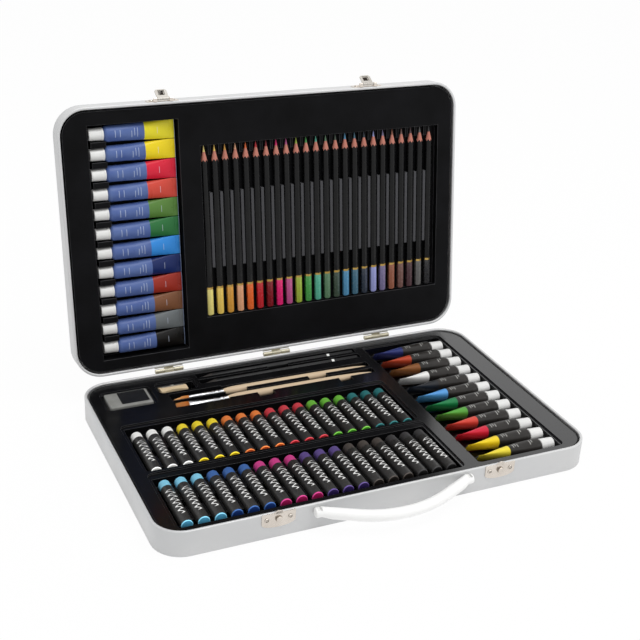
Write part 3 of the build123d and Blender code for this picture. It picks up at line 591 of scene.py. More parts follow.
# The trays' rounded edges take a painted highlight as their second finish.
dressed("base_tray", "base", "tray_plastic", TRAY_ROUND, BASE_SHEET, BASE_EDGE_HIGHLIGHT)
dressed("lid_tray", "lid", "tray_plastic", TRAY_ROUND, LID_SHEET, LID_EDGE_HIGHLIGHT)


# %% Nickel and hinge metal
def bright_metal(name, light, dark, low, high, metallic=1.0):
    """Metal or plating with a roughness between two limits."""
    return even_finish(name, light, dark, 60.0, (90.0, low, high), (700.0, 0.02), Metallic=metallic)


NICKEL = bright_metal("nickel", "#e0d8cf", "#d2c9bf", 0.22, 0.3)
HASP_METAL = bright_metal("satin nickel of the hasps", "#c6c2bb", "#b4afa8", 0.25, 0.35, 0.5)
HINGE_METAL = bright_metal("hinge steel", "#b9b4a2", "#a39d8a", 0.3, 0.4)
GROUND_STEEL = bright_metal("ground steel", "#a8a49b", "#8f8b83", 0.35, 0.5)
# Painted shade for the middle of the hasps' pockets.
POCKET_SHADE = bright_metal("painted shade in the hasp pockets", "#2f2a26", "#221e1b", 0.4, 0.55)
# Painted shade for rivet dimples and the feet of heads and knobs.
RECESS_SHADE = bright_metal("painted shade of rivet dimples and knob feet", "#99928a", "#817a73", 0.35, 0.5)
FERRULE_METAL = bright_metal("plated ferrule", "#c4c5c7", "#a9aaac", 0.22, 0.34)

# %% The hasps' pockets
HASP_AXIS_Y = -CASE_D / 2 - 2.9
HASP_AXIS_Z = -1.2
HASP_LEAN = math.radians(142.0)
POCKET_Z = 6.5
POCKET_FLOOR = 0.75
POCKET_RIM = 1.0
POCKET_NEAR = 0.2


def darken_pocket(made):
    """Paints shade on the middle of a hasp's pocket, inside a bright border."""
    centre = made.data.polygons[0].center
    side = 1 if centre.x < 0 else -1
    pivot = at(side * LATCH_X, HASP_AXIS_Y, HASP_AXIS_Z)
    swung = in_lid @ front_up @ pivot @ Matrix.Rotation(HASP_LEAN, 4, "X") @ pivot.inverted()
    to_latched = (swung @ at(side * LATCH_X, 0, POCKET_Z)).inverted()
    made.data.materials.append(POCKET_SHADE)
    bm = bmesh.new()
    bm.from_mesh(made.data)
    floor_faces = []
    for face in bm.faces:
        spot = to_latched @ face.calc_center_median()
        opens_inwards = (to_latched.to_3x3() @ face.normal).y > 0
        deep = spot.y < HASP_AXIS_Y - POCKET_FLOOR
        if opens_inwards and deep and max(abs(spot.x), abs(spot.z)) < POCKET_NEAR:
            floor_faces.append(face)
    bmesh.ops.inset_region(bm, faces=floor_faces, thickness=POCKET_RIM / 1000, depth=0)
    for face in floor_faces:
        face.material_index = 1
    area = sum(face.calc_area() for face in floor_faces)
    bm.to_mesh(made.data)
    bm.free()
    print(made.name, "dark middle of the pocket", round(area * 1e6, 1), "mm2")


# %% Hinges, plates and hasps
for node, body, slot, finish, width in (
        ("base_hinge_leaves", "base", "hinge_metal", HINGE_METAL, 0.15),
        ("lid_hinge_leaves", "lid", "hinge_metal", HINGE_METAL, 0.15),
        ("hinge_pins", "base", "hinge_metal", HINGE_METAL, 0.15),
        ("keeper_plates", "base", "latch_metal", NICKEL, 0.1),
        ("latch_plates", "lid", "latch_metal", NICKEL, 0.18),
        ("latch_pins", "lid", "latch_metal", NICKEL, 0.1),
        ("left_hasp", "left_hasp", "latch_metal", HASP_METAL, 0.1),
        ("right_hasp", "right_hasp", "latch_metal", HASP_METAL, 0.1)):
    made = dressed(node, body, slot, width, finish)
    if node == body:
        darken_pocket(made)

# %% [markdown]
# ## Rivets and keeper knobs
# The plates and the leaves are held by tubular rivets, whose rolled head stands round a dimple. Each
# head is one round face pulled through stations, up, over and down into the dimple. The dimple and the foot
# of each head and knob carry a painted shade. The knob that the hasp presses over is the same kind of
# turning, and a round tongue stands behind it.

# %% Turned heads on the latches and hinges
PLATE_FACE = CASE_D / 2 + 0.8
LEAF_FACE = CASE_D / 2 + 0.9
# The third number of each station is its finish: 1 is painted shade, in a rivet's dimple and round the foot
# of a head or knob.
RIVET = ((1.0, 0.0, 1), (1.02, 0.35, 1), (0.94, 0.62, 0), (0.8, 0.7, 0), (0.66, 0.6, 0), (0.56, 0.2, 1),
         (0.3, 0.12, 1), (0.1, 0.16, 0))
KNOB = ((3.2, 0.0, 0), (3.2, 0.1, 0), (2.9, 0.16, 1), (2.84, 0.18, 1), (2.84, 1.1, 1), (2.94, 1.5, 1),
        (2.98, 1.75, 0), (2.8, 2.2, 0), (2.1, 2.58, 0), (1.1, 2.78, 0), (0.3, 2.82, 0))
LATCH_RIVET = 2.3
LATCH_RIVET_X = 11.0
LATCH_RIVET_Z = -6.2
HINGE_RIVET = 1.9
HINGE_RIVET_X = 9.5
HINGE_RIVET_Z = -8.6
TONGUE_R = 3.5
TONGUE_Z = -1.0
TONGUE_OUT = CASE_D / 2 + 0.45


def turning(stations, scale, sides):
    """A turned head that stands on height 0, through radii, heights and finish numbers."""
    bm = bmesh.new()
    face = disc(bm, stations[0][0] * scale, sides)
    for (r0, z0, _), (r1, z1, finish) in zip(stations, stations[1:]):
        shrink = Matrix.Diagonal((r1 / r0, r1 / r0, 1, 1))
        face = pull(bm, face, at(0, 0, z1 - z0) @ shrink)
        for wall in {f for e in face.edges for f in e.link_faces}:
            wall.material_index = finish
    return close_up(bm)


def tongue():
    """A round-topped tongue behind the knob, as a disc with rounded edges."""
    bm = bmesh.new()
    face = pull(bm, disc(bm, TONGUE_R, 28), at(0, 0, 0.6))
    pull(bm, face, at(0, 0, 0.15) @ Matrix.Diagonal((0.95, 0.95, 1, 1)))
    return close_up(bm)


def at_front(x, z, out=PLATE_FACE):
    """Where a head stands on a front wall."""
    return at(x, -out, z) @ Matrix.Rotation(math.pi / 2, 4, "X")


def at_back(x, z):
    """Where a head stands on a back wall."""
    return at(x, LEAF_FACE, z) @ Matrix.Rotation(-math.pi / 2, 4, "X")


def rivets(carrier, places, scale):
    return [as_mesh(turning(RIVET, scale, 16), carrier @ place) for place in places]


in_lid_turned = in_lid @ front_up
latch_spots = [at_front(x + side, LATCH_RIVET_Z) for x in (-LATCH_X, LATCH_X)
               for side in (-LATCH_RIVET_X, LATCH_RIVET_X)]
hinge_spots = [at_back(x + side, HINGE_RIVET_Z) for x in (-HINGE_X, 0, HINGE_X)
               for side in (-HINGE_RIVET_X, HINGE_RIVET_X)]
knobs = []
for x in (-LATCH_X, LATCH_X):
    knobs.append(as_mesh(turning(KNOB, 1.0, 28), in_base @ at_front(x, LATCH_RIVET_Z)))
    knobs.append(as_mesh(tongue(), in_base @ at_front(x, TONGUE_Z, TONGUE_OUT)))
for name, body, meshes, slot in (
        ("keeper_rivets", "base", rivets(in_base, latch_spots, LATCH_RIVET), "latch_metal"),
        ("latch_rivets", "lid", rivets(in_lid_turned, latch_spots, LATCH_RIVET), "latch_metal"),
        ("keeper_knobs", "base", knobs, "latch_metal"),
        ("base_hinge_rivets", "base", rivets(in_base, hinge_spots, HINGE_RIVET), "hinge_metal"),
        ("lid_hinge_rivets", "lid", rivets(in_lid_turned, hinge_spots, HINGE_RIVET), "hinge_metal")):
    finish = NICKEL if slot == "latch_metal" else HINGE_METAL
    piece(name, body, meshes, [finish, RECESS_SHADE])

# %% [markdown]
# ## The carrying handle
# The handle is a moulded bow. A round face is pulled along the bow and turned a little at each station, and
# the slots for the two posts and the bore for the pins are cut out of its ends.

# %% Handle sizes and its white plastic
HANDLE_X = 75.0
HANDLE_Z = 20.2
HANDLE_OUT = 4.8
HANDLE_SLOPE = math.radians(23.0)
HANDLE_LEG_X = 45.0
HANDLE_END_R = 4.6
HANDLE_GRIP_R = 5.4
HANDLE_END = HANDLE_X + 4.0
HANDLE_DROOP = math.radians(9.5)
BOW_STEPS = 14
SLOT_W = 4.5
BORE_R = 1.05
BORE_L = 7.3


def white_plastic(name, light, dark, low, high):
    """Moulded plastic with a roughness between two limits."""
    return even_finish(name, light, dark, 35.0, (80.0, low, high), (700.0, 0.06), IOR=1.47)


HANDLE_WHITE = white_plastic("handle plastic", "#fdfdfc", "#f8f8f7", 0.28, 0.4)


# %% The bow
def bow_path():
    """Places across and out, the turn, and the radius of each station along the bow."""
    rise = (HANDLE_X - HANDLE_LEG_X) * math.tan(HANDLE_SLOPE)
    bend_r = HANDLE_LEG_X / math.sin(HANDLE_SLOPE)
    half = []
    for step in range(BOW_STEPS + 1):
        angle = HANDLE_SLOPE * step / BOW_STEPS
        out = rise + bend_r * (math.cos(angle) - math.cos(HANDLE_SLOPE))
        half.append((bend_r * math.sin(angle), -out, angle, HANDLE_GRIP_R))
    half += [(HANDLE_X - 11.0, -0.36 * rise, HANDLE_SLOPE, HANDLE_GRIP_R - 0.1),
             (HANDLE_X - 2.3, 0, HANDLE_SLOPE * 0.5, HANDLE_END_R),
             (HANDLE_END - 1.6, 0, 0, HANDLE_END_R), (HANDLE_END - 0.5, 0, 0, HANDLE_END_R - 0.5),
             (HANDLE_END, 0, 0, HANDLE_END_R - 1.6)]
    return [(-x, out, -turn, radius) for x, out, turn, radius in reversed(half)] + half[1:]


def station(place):
    """The matrix that puts a unit circle across the bow at a station."""
    x, out, turn, radius = place
    across = Matrix.Rotation(turn, 4, "Z") @ across_x
    return at(x, out, 0) @ across @ Matrix.Diagonal((radius, radius, 1, 1))


def bow():
    bm = bmesh.new()
    path = bow_path()
    face = disc(bm, 1.0, 24, station(path[0]))
    for old, new in zip(path, path[1:]):
        face = pull(bm, face, station(new) @ station(old).inverted())
    return close_up(bm)


def cutters():
    """A slot and a bore for each post, in one mesh."""
    bm = bmesh.new()
    for x in (-HANDLE_X, HANDLE_X):
        slot = bmesh.ops.create_cube(bm, size=1.0)["verts"]
        bmesh.ops.scale(bm, vec=(SLOT_W, 8.0, 12.0), verts=slot)
        bmesh.ops.translate(bm, vec=(x, 1.5, 0), verts=slot)
        bmesh.ops.create_cone(bm, cap_ends=True, segments=20, radius1=BORE_R, radius2=BORE_R, depth=BORE_L,
                              matrix=at(x, 0, 0) @ across_x)
    return bm


def cut(mesh, tool_mesh):
    """A mesh with another cut out of it."""
    target = new_object("target", mesh)
    tool = new_object("tool", tool_mesh)
    boolean = target.modifiers.new("cut", "BOOLEAN")
    boolean.operation = "DIFFERENCE"
    boolean.solver = "EXACT"
    boolean.use_self = True
    boolean.object = tool
    result = bpy.data.meshes.new_from_object(target.evaluated_get(bpy.context.evaluated_depsgraph_get()))
    bpy.data.objects.remove(target)
    bpy.data.objects.remove(tool)
    bpy.data.meshes.remove(mesh)
    bpy.data.meshes.remove(tool_mesh)
    return result


in_handle = (millimetres @ at(0, -CASE_D / 2 - HANDLE_OUT, HANDLE_Z)
             @ Matrix.Rotation(HANDLE_DROOP, 4, "X"))
stand_in("handle", "handle_plastic", "handle_bow", "handle",
         [cut(as_mesh(bow(), in_handle), as_mesh(cutters(), in_handle))], [HANDLE_WHITE])
WHITE_COAT = white_plastic("white coat of the posts", "#ececea", "#e2e2e0", 0.35, 0.5)
dressed("handle_posts", "base", "latch_metal", 0.15, WHITE_COAT)
dressed("handle_pins", "base", "latch_metal", 0.1, WHITE_COAT)

# %% [markdown]
# ## Bars and tubes along X
# Pastels, tubes, caps, pencils, ferrules and brush handles all start as a circle across X. At each station
# the circle is moved along X and scaled to its width and thickness there.


# %% Drawing a bar through stations
def bar(stations, sides):
    """A circle pulled along X through stations, each a place and a radius, or a place, half a width and half
    a thickness."""
    stations = [(place, half[0], half[-1]) for place, *half in stations]
    place, half_w, half_t = stations[0]
    bm = bmesh.new()
    face = disc(bm, 1.0, sides, at(place, 0, 0) @ across_x)
    bmesh.ops.scale(bm, vec=(1, half_w, half_t), verts=face.verts)
    for (x0, w0, t0), (x1, w1, t1) in zip(stations, stations[1:]):
        stretch = Matrix.Diagonal((1, w1 / w0, t1 / t0, 1))
        face = pull(bm, face, at(x1 - x0, 0, 0) @ stretch)
    return close_up(bm)


# %% [markdown]
# ## The pastels
# A pastel is a stick of wax with small rounded ends in a dark paper wrap. The wrap is a thin sleeve, so the
# wax shows at both ends, more at the far one. Each stick is turned about its own length by chance.

# %% Wax and wrap finishes
PASTEL_R = 5.75
PASTEL_L = 67.0
PASTEL_PITCH = 15.1
PASTEL_X0 = -187.2
PASTEL_COUNT = 18
PASTEL_DEPTH = 1.0 + PASTEL_R
PASTEL_ROWS = {"back": -32.4, "front": -119.6}
END_SHADE_TO = 0.12
RIM_HIGHLIGHT_FROM = 0.2
RIM_HIGHLIGHT_TO = 0.75
WRAP_T = 0.25
WRAP_START = 1.3
WRAP_END = 57.4
WAVE_START = 12.0
WAVE_END = 50.0
WAVE_L = 6.2
WAVE_H = 3.6
WAVE_W = 1.9
WAVE_SOFT = 0.00012
WAX_COLOURS = {
    "back": ("#fbfbf8", "#f8de35", "#ec8340", "#d0404b", "#6ebb40", "#2b7375"),
    "front": ("#86cfec", "#3d66a6", "#cb3f88", "#5c4987", "#47413d", "#363536")}


def wax(name, codes, near_y):
    """Wax in one colour for every three sticks, with painted shade on the near end face and a painted
    highlight on the rounded rim next to it.
    """
    finish, tree = new_finish(name, IOR=1.45, Specular_IOR_Level=0.35)
    pitch = 3 * PASTEL_PITCH / 1000
    colour = in_order(tree, measure(tree, (1, 0, 0)), (PASTEL_X0 + PASTEL_PITCH) / 1000, pitch, codes)
    colour = blend(tree, mottle(tree, 320.0, 0.0, 0.12), colour, GRIME)
    along_y = measure(tree, (0, 1, 0))
    # Painted shade: the near end face is drawn in a deeper colour.
    end_face_shade = between(tree, along_y, (near_y - 1) / 1000, (near_y + END_SHADE_TO) / 1000, SOFT)
    end_shade_colour = add_node(tree, "ShaderNodeGamma", {0: colour, 1: 1.6})
    colour = blend(tree, end_face_shade, colour, end_shade_colour.outputs[0])
    # Painted highlight: the rounded rim next to the end is doubled in brightness.
    rim = between(tree, along_y, (near_y + RIM_HIGHLIGHT_FROM) / 1000, (near_y + RIM_HIGHLIGHT_TO) / 1000, SOFT)
    colour = blend(tree, rim, colour, colour, "ADD")
    return coat(finish, colour, (260.0, 0.42, 0.62), (420.0, 0.25))


def wrap_paper(name, near_y):
    """Dark coated paper with a plain white wave that flattens towards the near end."""
    finish, tree = new_finish(name, IOR=1.45)
    colour = two_tone(tree, 500.0, "#232221", "#2e2d2c")
    along = measure(tree, (0, 1, 0), near_y / 1000)
    across = within_pitch(tree, measure(tree, (1, 0, 0)), PASTEL_X0 / 1000, PASTEL_PITCH / 1000)
    swing = arithmetic(tree, "SINE", arithmetic(tree, "MULTIPLY", along, math.tau * 1000 / WAVE_L))
    height = span(tree, along, WAVE_START / 1000, WAVE_END / 1000, WAVE_H * 0.5 / 1000, WAVE_H / 1000)
    off = arithmetic(tree, "SUBTRACT", across, arithmetic(tree, "MULTIPLY", swing, height))
    near = between(tree, off, -WAVE_W / 2000, WAVE_W / 2000, WAVE_SOFT)
    part = between(tree, along, WAVE_START / 1000, WAVE_END / 1000)
    colour = blend(tree, arithmetic(tree, "MULTIPLY", near, part), colour, paint("#f2f2f0"))
    return coat(finish, colour, (420.0, 0.36, 0.52), (1800.0, 0.12))


# %% Sticks and wraps
def stick():
    radius = PASTEL_R - WRAP_T
    return bar([(0, radius - 0.9), (0.25, radius - 0.3), (0.9, radius), (PASTEL_L - 1.3, radius),
                (PASTEL_L - 0.5, radius - 0.35), (PASTEL_L, radius - 1.3)], 24)


def wrap(rng):
    """A sleeve that ends a little sooner or later by chance."""
    end = WRAP_END + rng.uniform(-0.25, 0.25)
    return bar([(WRAP_START, PASTEL_R - 0.12), (WRAP_START + 0.15, PASTEL_R), (end - 0.2, PASTEL_R),
                (end, PASTEL_R - 0.14)], 24)


lengthwise = Matrix.Rotation(math.pi / 2, 4, "Z")
rng = random.Random(4)
for row, near_y in PASTEL_ROWS.items():
    sticks = []
    wraps = []
    for index in range(PASTEL_COUNT):
        x = PASTEL_X0 + index * PASTEL_PITCH
        place = in_base @ at(x, near_y, -PASTEL_DEPTH) @ lengthwise
        place = place @ Matrix.Rotation(rng.uniform(0, math.tau), 4, "X")
        sticks.append(as_mesh(stick(), place))
        wraps.append(as_mesh(wrap(rng), place))
    stand_in(row + "_pastel_sticks", "pastel_wax", row + "_sticks", row + "_pastels", sticks,
             [wax(row + " wax", WAX_COLOURS[row], near_y)])
    stand_in(row + "_pastel_wraps", "wrap_paper", row + "_wraps", row + "_pastels", wraps,
             [wrap_paper(row + " wrap paper", near_y)])

# %% [markdown]
# ## The paint tubes
# A tube is round at its shoulder and is pressed flat towards its foot, where the laminate is folded over and
# crimped. The body is one bar whose width grows as its thickness falls, with small dents by chance. The screw
# cap has fine flutes, made by drawing in every second point of its circle.

# %% Tube sizes and laminate
TUBE_COUNT = 12
TUBE_CREASE = 60
TUBE_R = 8.1
TUBE_L = 87.0
SHOULDER = -17.5
CAP_L = 14.6
CAP_SIDES = 36
CRIMP = -82.0
CRIMP_W = 9.6
BASE_TUBES = (186.0, -1.7, 19.9)
LID_TUBES = (-185.7, 0.0, 19.7)
TUBE_ROLL = math.radians(-52.0)
lid_middle = (in_lid @ Vector((0, 0, 0))).dot(lid_up)


def laminate(name, up_axis, up_origin, tubes, codes, label, band, fold, strokes):
    """Printed laminate: a label, a band in the paint's colour, a painted highlight along the crimped end and
    plain short strokes.
    """
    finish, tree = new_finish(name, IOR=1.5, Specular_IOR_Level=0.22)
    middle, pitch = tubes[1:]
    across = measure(tree, up_axis, up_origin)
    along = measure(tree, (1, 0, 0))
    first = (middle - (TUBE_COUNT - 1) / 2 * pitch) / 1000
    print_colour = in_order(tree, across, first, pitch / 1000, codes)
    colour = two_tone(tree, 60.0, *label[:2])
    # The fold is a thin painted highlight along the crimped end, in the label's third colour.
    for (low, high), printed in ((band, print_colour), (fold, paint(label[2]))):
        colour = blend(tree, between(tree, along, low / 1000, high / 1000), colour, printed)
    from_middle = within_pitch(tree, across, first, pitch / 1000)
    for along_range, across_range in strokes:
        mark = stroke(tree, along, from_middle, along_range, across_range)
        colour = blend(tree, arithmetic(tree, "MULTIPLY", mark, 0.6), colour, paint(label[3]))
    return coat(finish, colour, (120.0, 0.26, 0.4), (240.0, 0.22))


BASE_CODES = ("#f1dd3e", "#f2d327", "#d01f3c", "#d5483a", "#56a33c", "#1f7d49", "#5c9fe0", "#26282c",
              "#f0efec", "#85532c", "#b5452b", "#2b3570")
LID_CODES = ("#0d0b0a", "#6c7173", "#7c5137", "#9c2f22", "#17285f", "#3389d8", "#2b6f3b", "#57803a",
             "#cf4a3c", "#d8233c", "#ecd21f", "#e6d92e")
BASE_LAMINATE = laminate("base tube laminate", (0, 1, 0), 0.0, BASE_TUBES, BASE_CODES,
                         ("#262422", "#302d2b", "#5a5a5c", "#e4e4e0"), (98.0, 134.5), (98.8, 99.6),
                         (((139.0, 139.7), (-4.5, 1.0)), ((141.4, 142.1), (-3.5, 1.0)),
                          ((143.8, 144.5), (-4.5, -0.5)), ((158.0, 158.7), (-4.5, 1.0)),
                          ((160.6, 161.3), (-2.5, 1.0))))
LID_LAMINATE = laminate("lid tube laminate", lid_up, lid_middle, LID_TUBES, LID_CODES,
                        ("#4a5f9a", "#5b70a4", "#8f9fbe", "#c8d0e2"), (-130.5, -98.0), (-99.4, -98.6),
                        (((-138.0, -137.4), (-4.5, 4.5)), ((-141.0, -140.4), (-3.0, 4.5)),
                         ((-144.0, -143.4), (-4.5, 2.0)), ((-160.6, -160.0), (-3.5, 3.5)),
                         ((-155.6, -155.0), (-3.5, 3.5)), ((-117.4, -116.9), (-3.2, 3.2))))
CAP_WHITE = white_plastic("cap plastic", "#ebebe9", "#e2e2e0", 0.3, 0.4)


# %% One tube and one cap
def tube_body(rng):
    """A squeezed tube with its cap end at X = 0 and its fold towards -X."""
    slack = rng.uniform(-0.35, 0.2)
    stations = [(-14.4, 4.4, 4.4), (-14.9, 4.5, 4.5), (-15.0, 6.2, 6.2), (-16.6, 7.7, 7.7),
                (SHOULDER, 8.05, 8.0), (-22, 8.1, 7.9), (-32, 8.15, 7.6 + slack), (-43, 8.4, 6.9 + slack),
                (-54, 8.8, 5.8 + slack), (-64, 9.15, 4.3 + slack * 0.5), (-73, 9.45, 2.5),
                (CRIMP + 2, CRIMP_W, 1.0), (CRIMP, CRIMP_W, 0.5), (CRIMP - 0.1, CRIMP_W, 0.7),
                (-86.7, CRIMP_W, 0.68), (-TUBE_L, CRIMP_W, 0.4)]
    bm = bar(stations, 28)
    for vert in bm.verts:
        x = vert.co.x
        if CRIMP < x < -20:
            share = (x + 20) / (CRIMP + 20)
            wave = math.sin(x * 0.21 + slack * 30) * 0.16 + math.sin(x * 0.5 + vert.co.y * 0.6) * 0.1
            vert.co.z += wave * math.sin(math.pi * share)
    return bm


def screw_cap():
    """A tapered cap with fine flutes, which fade out inside a border on its end."""
    bm = bar([(-CAP_L, 6.1), (-CAP_L + 0.4, 6.5), (-CAP_L + 1.8, 6.52), (-CAP_L + 2.1, 6.35), (-1.4, 6.05),
              (-0.5, 5.9), (0, 5.3)], CAP_SIDES)
    end = max(bm.faces, key=lambda face: face.calc_center_median().x)
    bmesh.ops.inset_region(bm, faces=[end], thickness=0.9, depth=0)
    for vert in bm.verts:
        if -CAP_L + 2.0 < vert.co.x < -1.0:
            step = round(math.atan2(vert.co.z, vert.co.y) / math.tau * CAP_SIDES)
            if step % 2:
                vert.co.yz *= 0.965
    return bm


rng = random.Random(11)
for where, place, depth, turn, (x, middle, pitch), finish in (
        ("base", in_base, TUBE_R, Matrix.Rotation(TUBE_ROLL, 4, "X"), BASE_TUBES, BASE_LAMINATE),
        ("lid", in_lid, TUBE_R + 1.5, front_up, LID_TUBES, LID_LAMINATE)):
    bodies = []
    caps = []
    for index in range(TUBE_COUNT):
        y = middle + (index - (TUBE_COUNT - 1) / 2) * pitch
        spot = place @ at(x, y, -depth) @ turn
        bodies.append(as_mesh(tube_body(rng), spot))
        caps.append(as_mesh(screw_cap(), spot))
    stand_in(where + "_tube_bodies", "tube_laminate", where + "_tubes_painted", where + "_tubes", bodies,
             [finish], TUBE_CREASE)
    stand_in(where + "_tube_caps", "cap_plastic", where + "_caps_fluted", where + "_tubes", caps, [CAP_WHITE])

# %% [markdown]
# ## The coloured pencils
# A hexagonal pencil that is turned in a sharpener gets a scalloped edge, because the cone meets the flats
# further forward than the corners. So each point of the barrel's outline ends where the cone has its
# radius. The casing has four finishes: black paint, a gold ring, a dip of colour at the end, and bare wood
# on the cone.

# %% Pencil finishes
PENCIL_R = 3.65
PENCIL_L = 178.0
PENCIL_CONE = 16.0
PENCIL_LEAD = 6.0
LEAD_R = 1.35
PENCIL_COUNT = 24
PENCIL_PITCH = 11.18
PENCIL_X0 = -70.6
PENCIL_TIP_Y = 89.0
PENCIL_DEPTH = 2.8 + PENCIL_R * math.cos(math.pi / 6)
DIP_L = 28.4
RING_L = 2.2
PENCIL_CODES = ("#e6cf7c", "#e6bd5c", "#c8913a", "#d39c76", "#d6622a", "#b3202a", "#780f1c", "#d81f6c",
                "#b14f86", "#96ab3c", "#459248", "#52a58c", "#56785b", "#39483c", "#4c86ab", "#3f6579",
                "#2c3440", "#8f95c8", "#736b8d", "#8b5642", "#6d4f49", "#493237", "#5c5b5a", "#28282a")


def by_pencil(name, low, high, gain):
    """Lacquer or core in each pencil's own colour."""
    finish, tree = new_finish(name, IOR=1.5)
    along = measure(tree, (1, 0, 0))
    colour = in_order(tree, along, PENCIL_X0 / 1000, PENCIL_PITCH / 1000, PENCIL_CODES, gain)
    colour = blend(tree, mottle(tree, 300.0, 0.0, 0.12), colour, (0.03, 0.03, 0.03, 1))
    return coat(finish, colour, (300.0, low, high), (600.0, 0.08))


def lacquer(name, light, dark, low, high):
    """Pencil lacquer with a roughness between two limits."""
    return even_finish(name, light, dark, 90.0, (150.0, low, high), (500.0, 0.06), IOR=1.5,
                       Specular_IOR_Level=0.2)


def bare_wood(name, light, dark, direction, stretch=14.0):
    """Fine grain that runs along a direction."""
    finish, tree = new_finish(name, IOR=1.45, Specular_IOR_Level=0.3)
    where = add_node(tree, "ShaderNodeTexCoord")
    scale = tuple(1.0 / stretch if d else 1.0 for d in direction)
    mapping = add_node(tree, "ShaderNodeMapping", {"Vector": where.outputs["Object"], "Scale": scale})
    noise = add_node(tree, "ShaderNodeTexNoise", {"Vector": mapping.outputs["Vector"], "Scale": 1400.0,
                                                  "Detail": 6.0})
    grain = noise.outputs["Fac"]
    colour = blend(tree, grain, paint(light), paint(dark))
    colour = blend(tree, mottle(tree, 40.0, 0.0, 0.3), colour, paint(dark))
    bump = add_node(tree, "ShaderNodeBump", {"Height": grain, "Distance": 0.0002, "Strength": 0.3})
    return complete(finish, Base_Color=colour, Roughness=mottle(tree, 300.0, 0.5, 0.66),
                    Normal=bump.outputs["Normal"])


DIP = by_pencil("dipped end", 0.2, 0.32, 1.4)
CORE = by_pencil("coloured core", 0.4, 0.55, 1.0)
BLACK_LACQUER = lacquer("black lacquer", "#0b0b0c", "#121213", 0.2, 0.34)
GOLD = bright_metal("gold foil", "#cfae62", "#b8954a", 0.25, 0.4)
PENCIL_WOOD = bare_wood("cedar", "#cc8a79", "#ad6a5c", (0, 1, 1))


# %% One pencil
def shape_hexagon(face, x, radius, cone_l=0.0):
    """Puts twelve points on a hexagon's corners and flats, across X or on a cone of a length."""
    for vert in face.verts:
        angle = math.atan2(vert.co.z, vert.co.y)
        on_flat = round(angle / math.tau * 12) % 2
        reach = radius * math.cos(math.pi / 6) if on_flat else radius
        place = x if not cone_l else -cone_l * reach / PENCIL_R
        vert.co = Vector((place, reach * math.cos(angle), reach * math.sin(angle)))


def pencil_casing(length, radius, dip, ring):
    """A barrel with its end at -X and its wooden cone towards X = 0. The finishes are 0 barrel, 1 ring,
    2 dip and 3 wood."""
    bm = bmesh.new()
    face = disc(bm, 1.0, 12, at(-length, 0, 0) @ across_x)
    shape_hexagon(face, -length, radius * 0.6)
    for x, share, cone_l, index in ((-length + 0.5, 0.86, 0, 2), (-length + 1.6, 1, 0, 2),
                                    (-length + dip, 1, 0, 2), (-length + dip + ring, 1, 0, 1),
                                    (0, 1, PENCIL_CONE, 0)):
        face = pull(bm, face)
        shape_hexagon(face, x, radius * share, cone_l)
        for wall in {f for v in face.verts for f in v.link_faces if f != face}:
            wall.material_index = index
    face = pull(bm, face)
    for vert in face.verts:
        angle = math.atan2(vert.co.z, vert.co.y)
        vert.co = Vector((-PENCIL_LEAD, LEAD_R * math.cos(angle), LEAD_R * math.sin(angle)))
    for wall in {f for v in face.verts for f in v.link_faces}:
        wall.material_index = 3
    for cap in bmesh.ops.holes_fill(bm, edges=bm.edges, sides=0)["faces"]:
        cap.material_index = 2
    return close_up(bm)


def pencil_core(tip_r):
    return bar([(-PENCIL_LEAD, LEAD_R), (-0.5, tip_r + 0.12), (0, tip_r)], 12)


# %% The lid's pencils
casings = []
cores = []
flat_up = Matrix.Rotation(math.pi / 6, 4, "X")
for index in range(PENCIL_COUNT):
    x = PENCIL_X0 + index * PENCIL_PITCH
    spot = in_lid @ at(x, PENCIL_TIP_Y, -PENCIL_DEPTH) @ lengthwise @ flat_up
    casings.append(as_mesh(pencil_casing(PENCIL_L, PENCIL_R, DIP_L, RING_L), spot))
    cores.append(as_mesh(pencil_core(0.25), spot))
stand_in("lid_pencil_casings", "pencil_paint", "coloured_pencil_barrels", "lid_pencils", casings,
         [BLACK_LACQUER, GOLD, DIP, PENCIL_WOOD])
stand_in("lid_pencil_leads", "pencil_core", "coloured_pencil_points", "lid_pencils", cores, [CORE])

# %% [markdown]
# ## The two sketching pencils
# These are a little thicker and matt black, with their points to the left and one white ring each.

# %% Sketching pencils
SKETCH_R = 3.9
SKETCH_TIP_X = -96.0
SKETCH_Y = {"rear": 121.7, "front": 108.5}
SKETCH_DIP_L = 28.0
SKETCH_RING_L = 3.0
SKETCH_DEPTH = 2.4 + SKETCH_R * math.cos(math.pi / 6)
MATT_BLACK = lacquer("matt black lacquer", "#141415", "#1c1c1d", 0.35, 0.5)
WHITE_BAND = lacquer("white band", "#f0f0ee", "#e4e4e2", 0.3, 0.4)
DARK_WOOD = bare_wood("stained wood", "#3a3532", "#272321", (1, 0, 0))
GRAPHITE = bright_metal("graphite", "#4a4a4c", "#38383a", 0.4, 0.55)
for side, y in SKETCH_Y.items():
    name = side + "_pencil"
    spot = in_base @ at(SKETCH_TIP_X, y, -SKETCH_DEPTH) @ front_up @ flat_up
    casing = as_mesh(pencil_casing(PENCIL_L, SKETCH_R, SKETCH_DIP_L, SKETCH_RING_L), spot)
    core = as_mesh(pencil_core(0.3), spot)
    stand_in(name + "_casing", "sketch_paint", name + "_barrel", name, [casing],
             [MATT_BLACK, WHITE_BAND, MATT_BLACK, DARK_WOOD])
    stand_in(name + "_lead", "sketch_core", name + "_point", name, [core], [GRAPHITE])

# %% [markdown]
# ## The brushes
# A turned wooden handle, a drawn ferrule with a crimp, and a tuft. The tuft is many thin tapered hairs that
# start in the ferrule's mouth and come together at the tip, round a fuller middle.

# %% Handles and ferrules
BRUSH_DEPTH = 6.0
FERRULE_END = -80.0
MOUTH = -117.0
FLAT_MOUTH = -121.0
BRUSH_END = 82.0
BRUSH_WOOD = bare_wood("pale wood", "#e2cfb4", "#cbb08e", (1, 0, 0), 20.0)
HAIR_L = 16.0


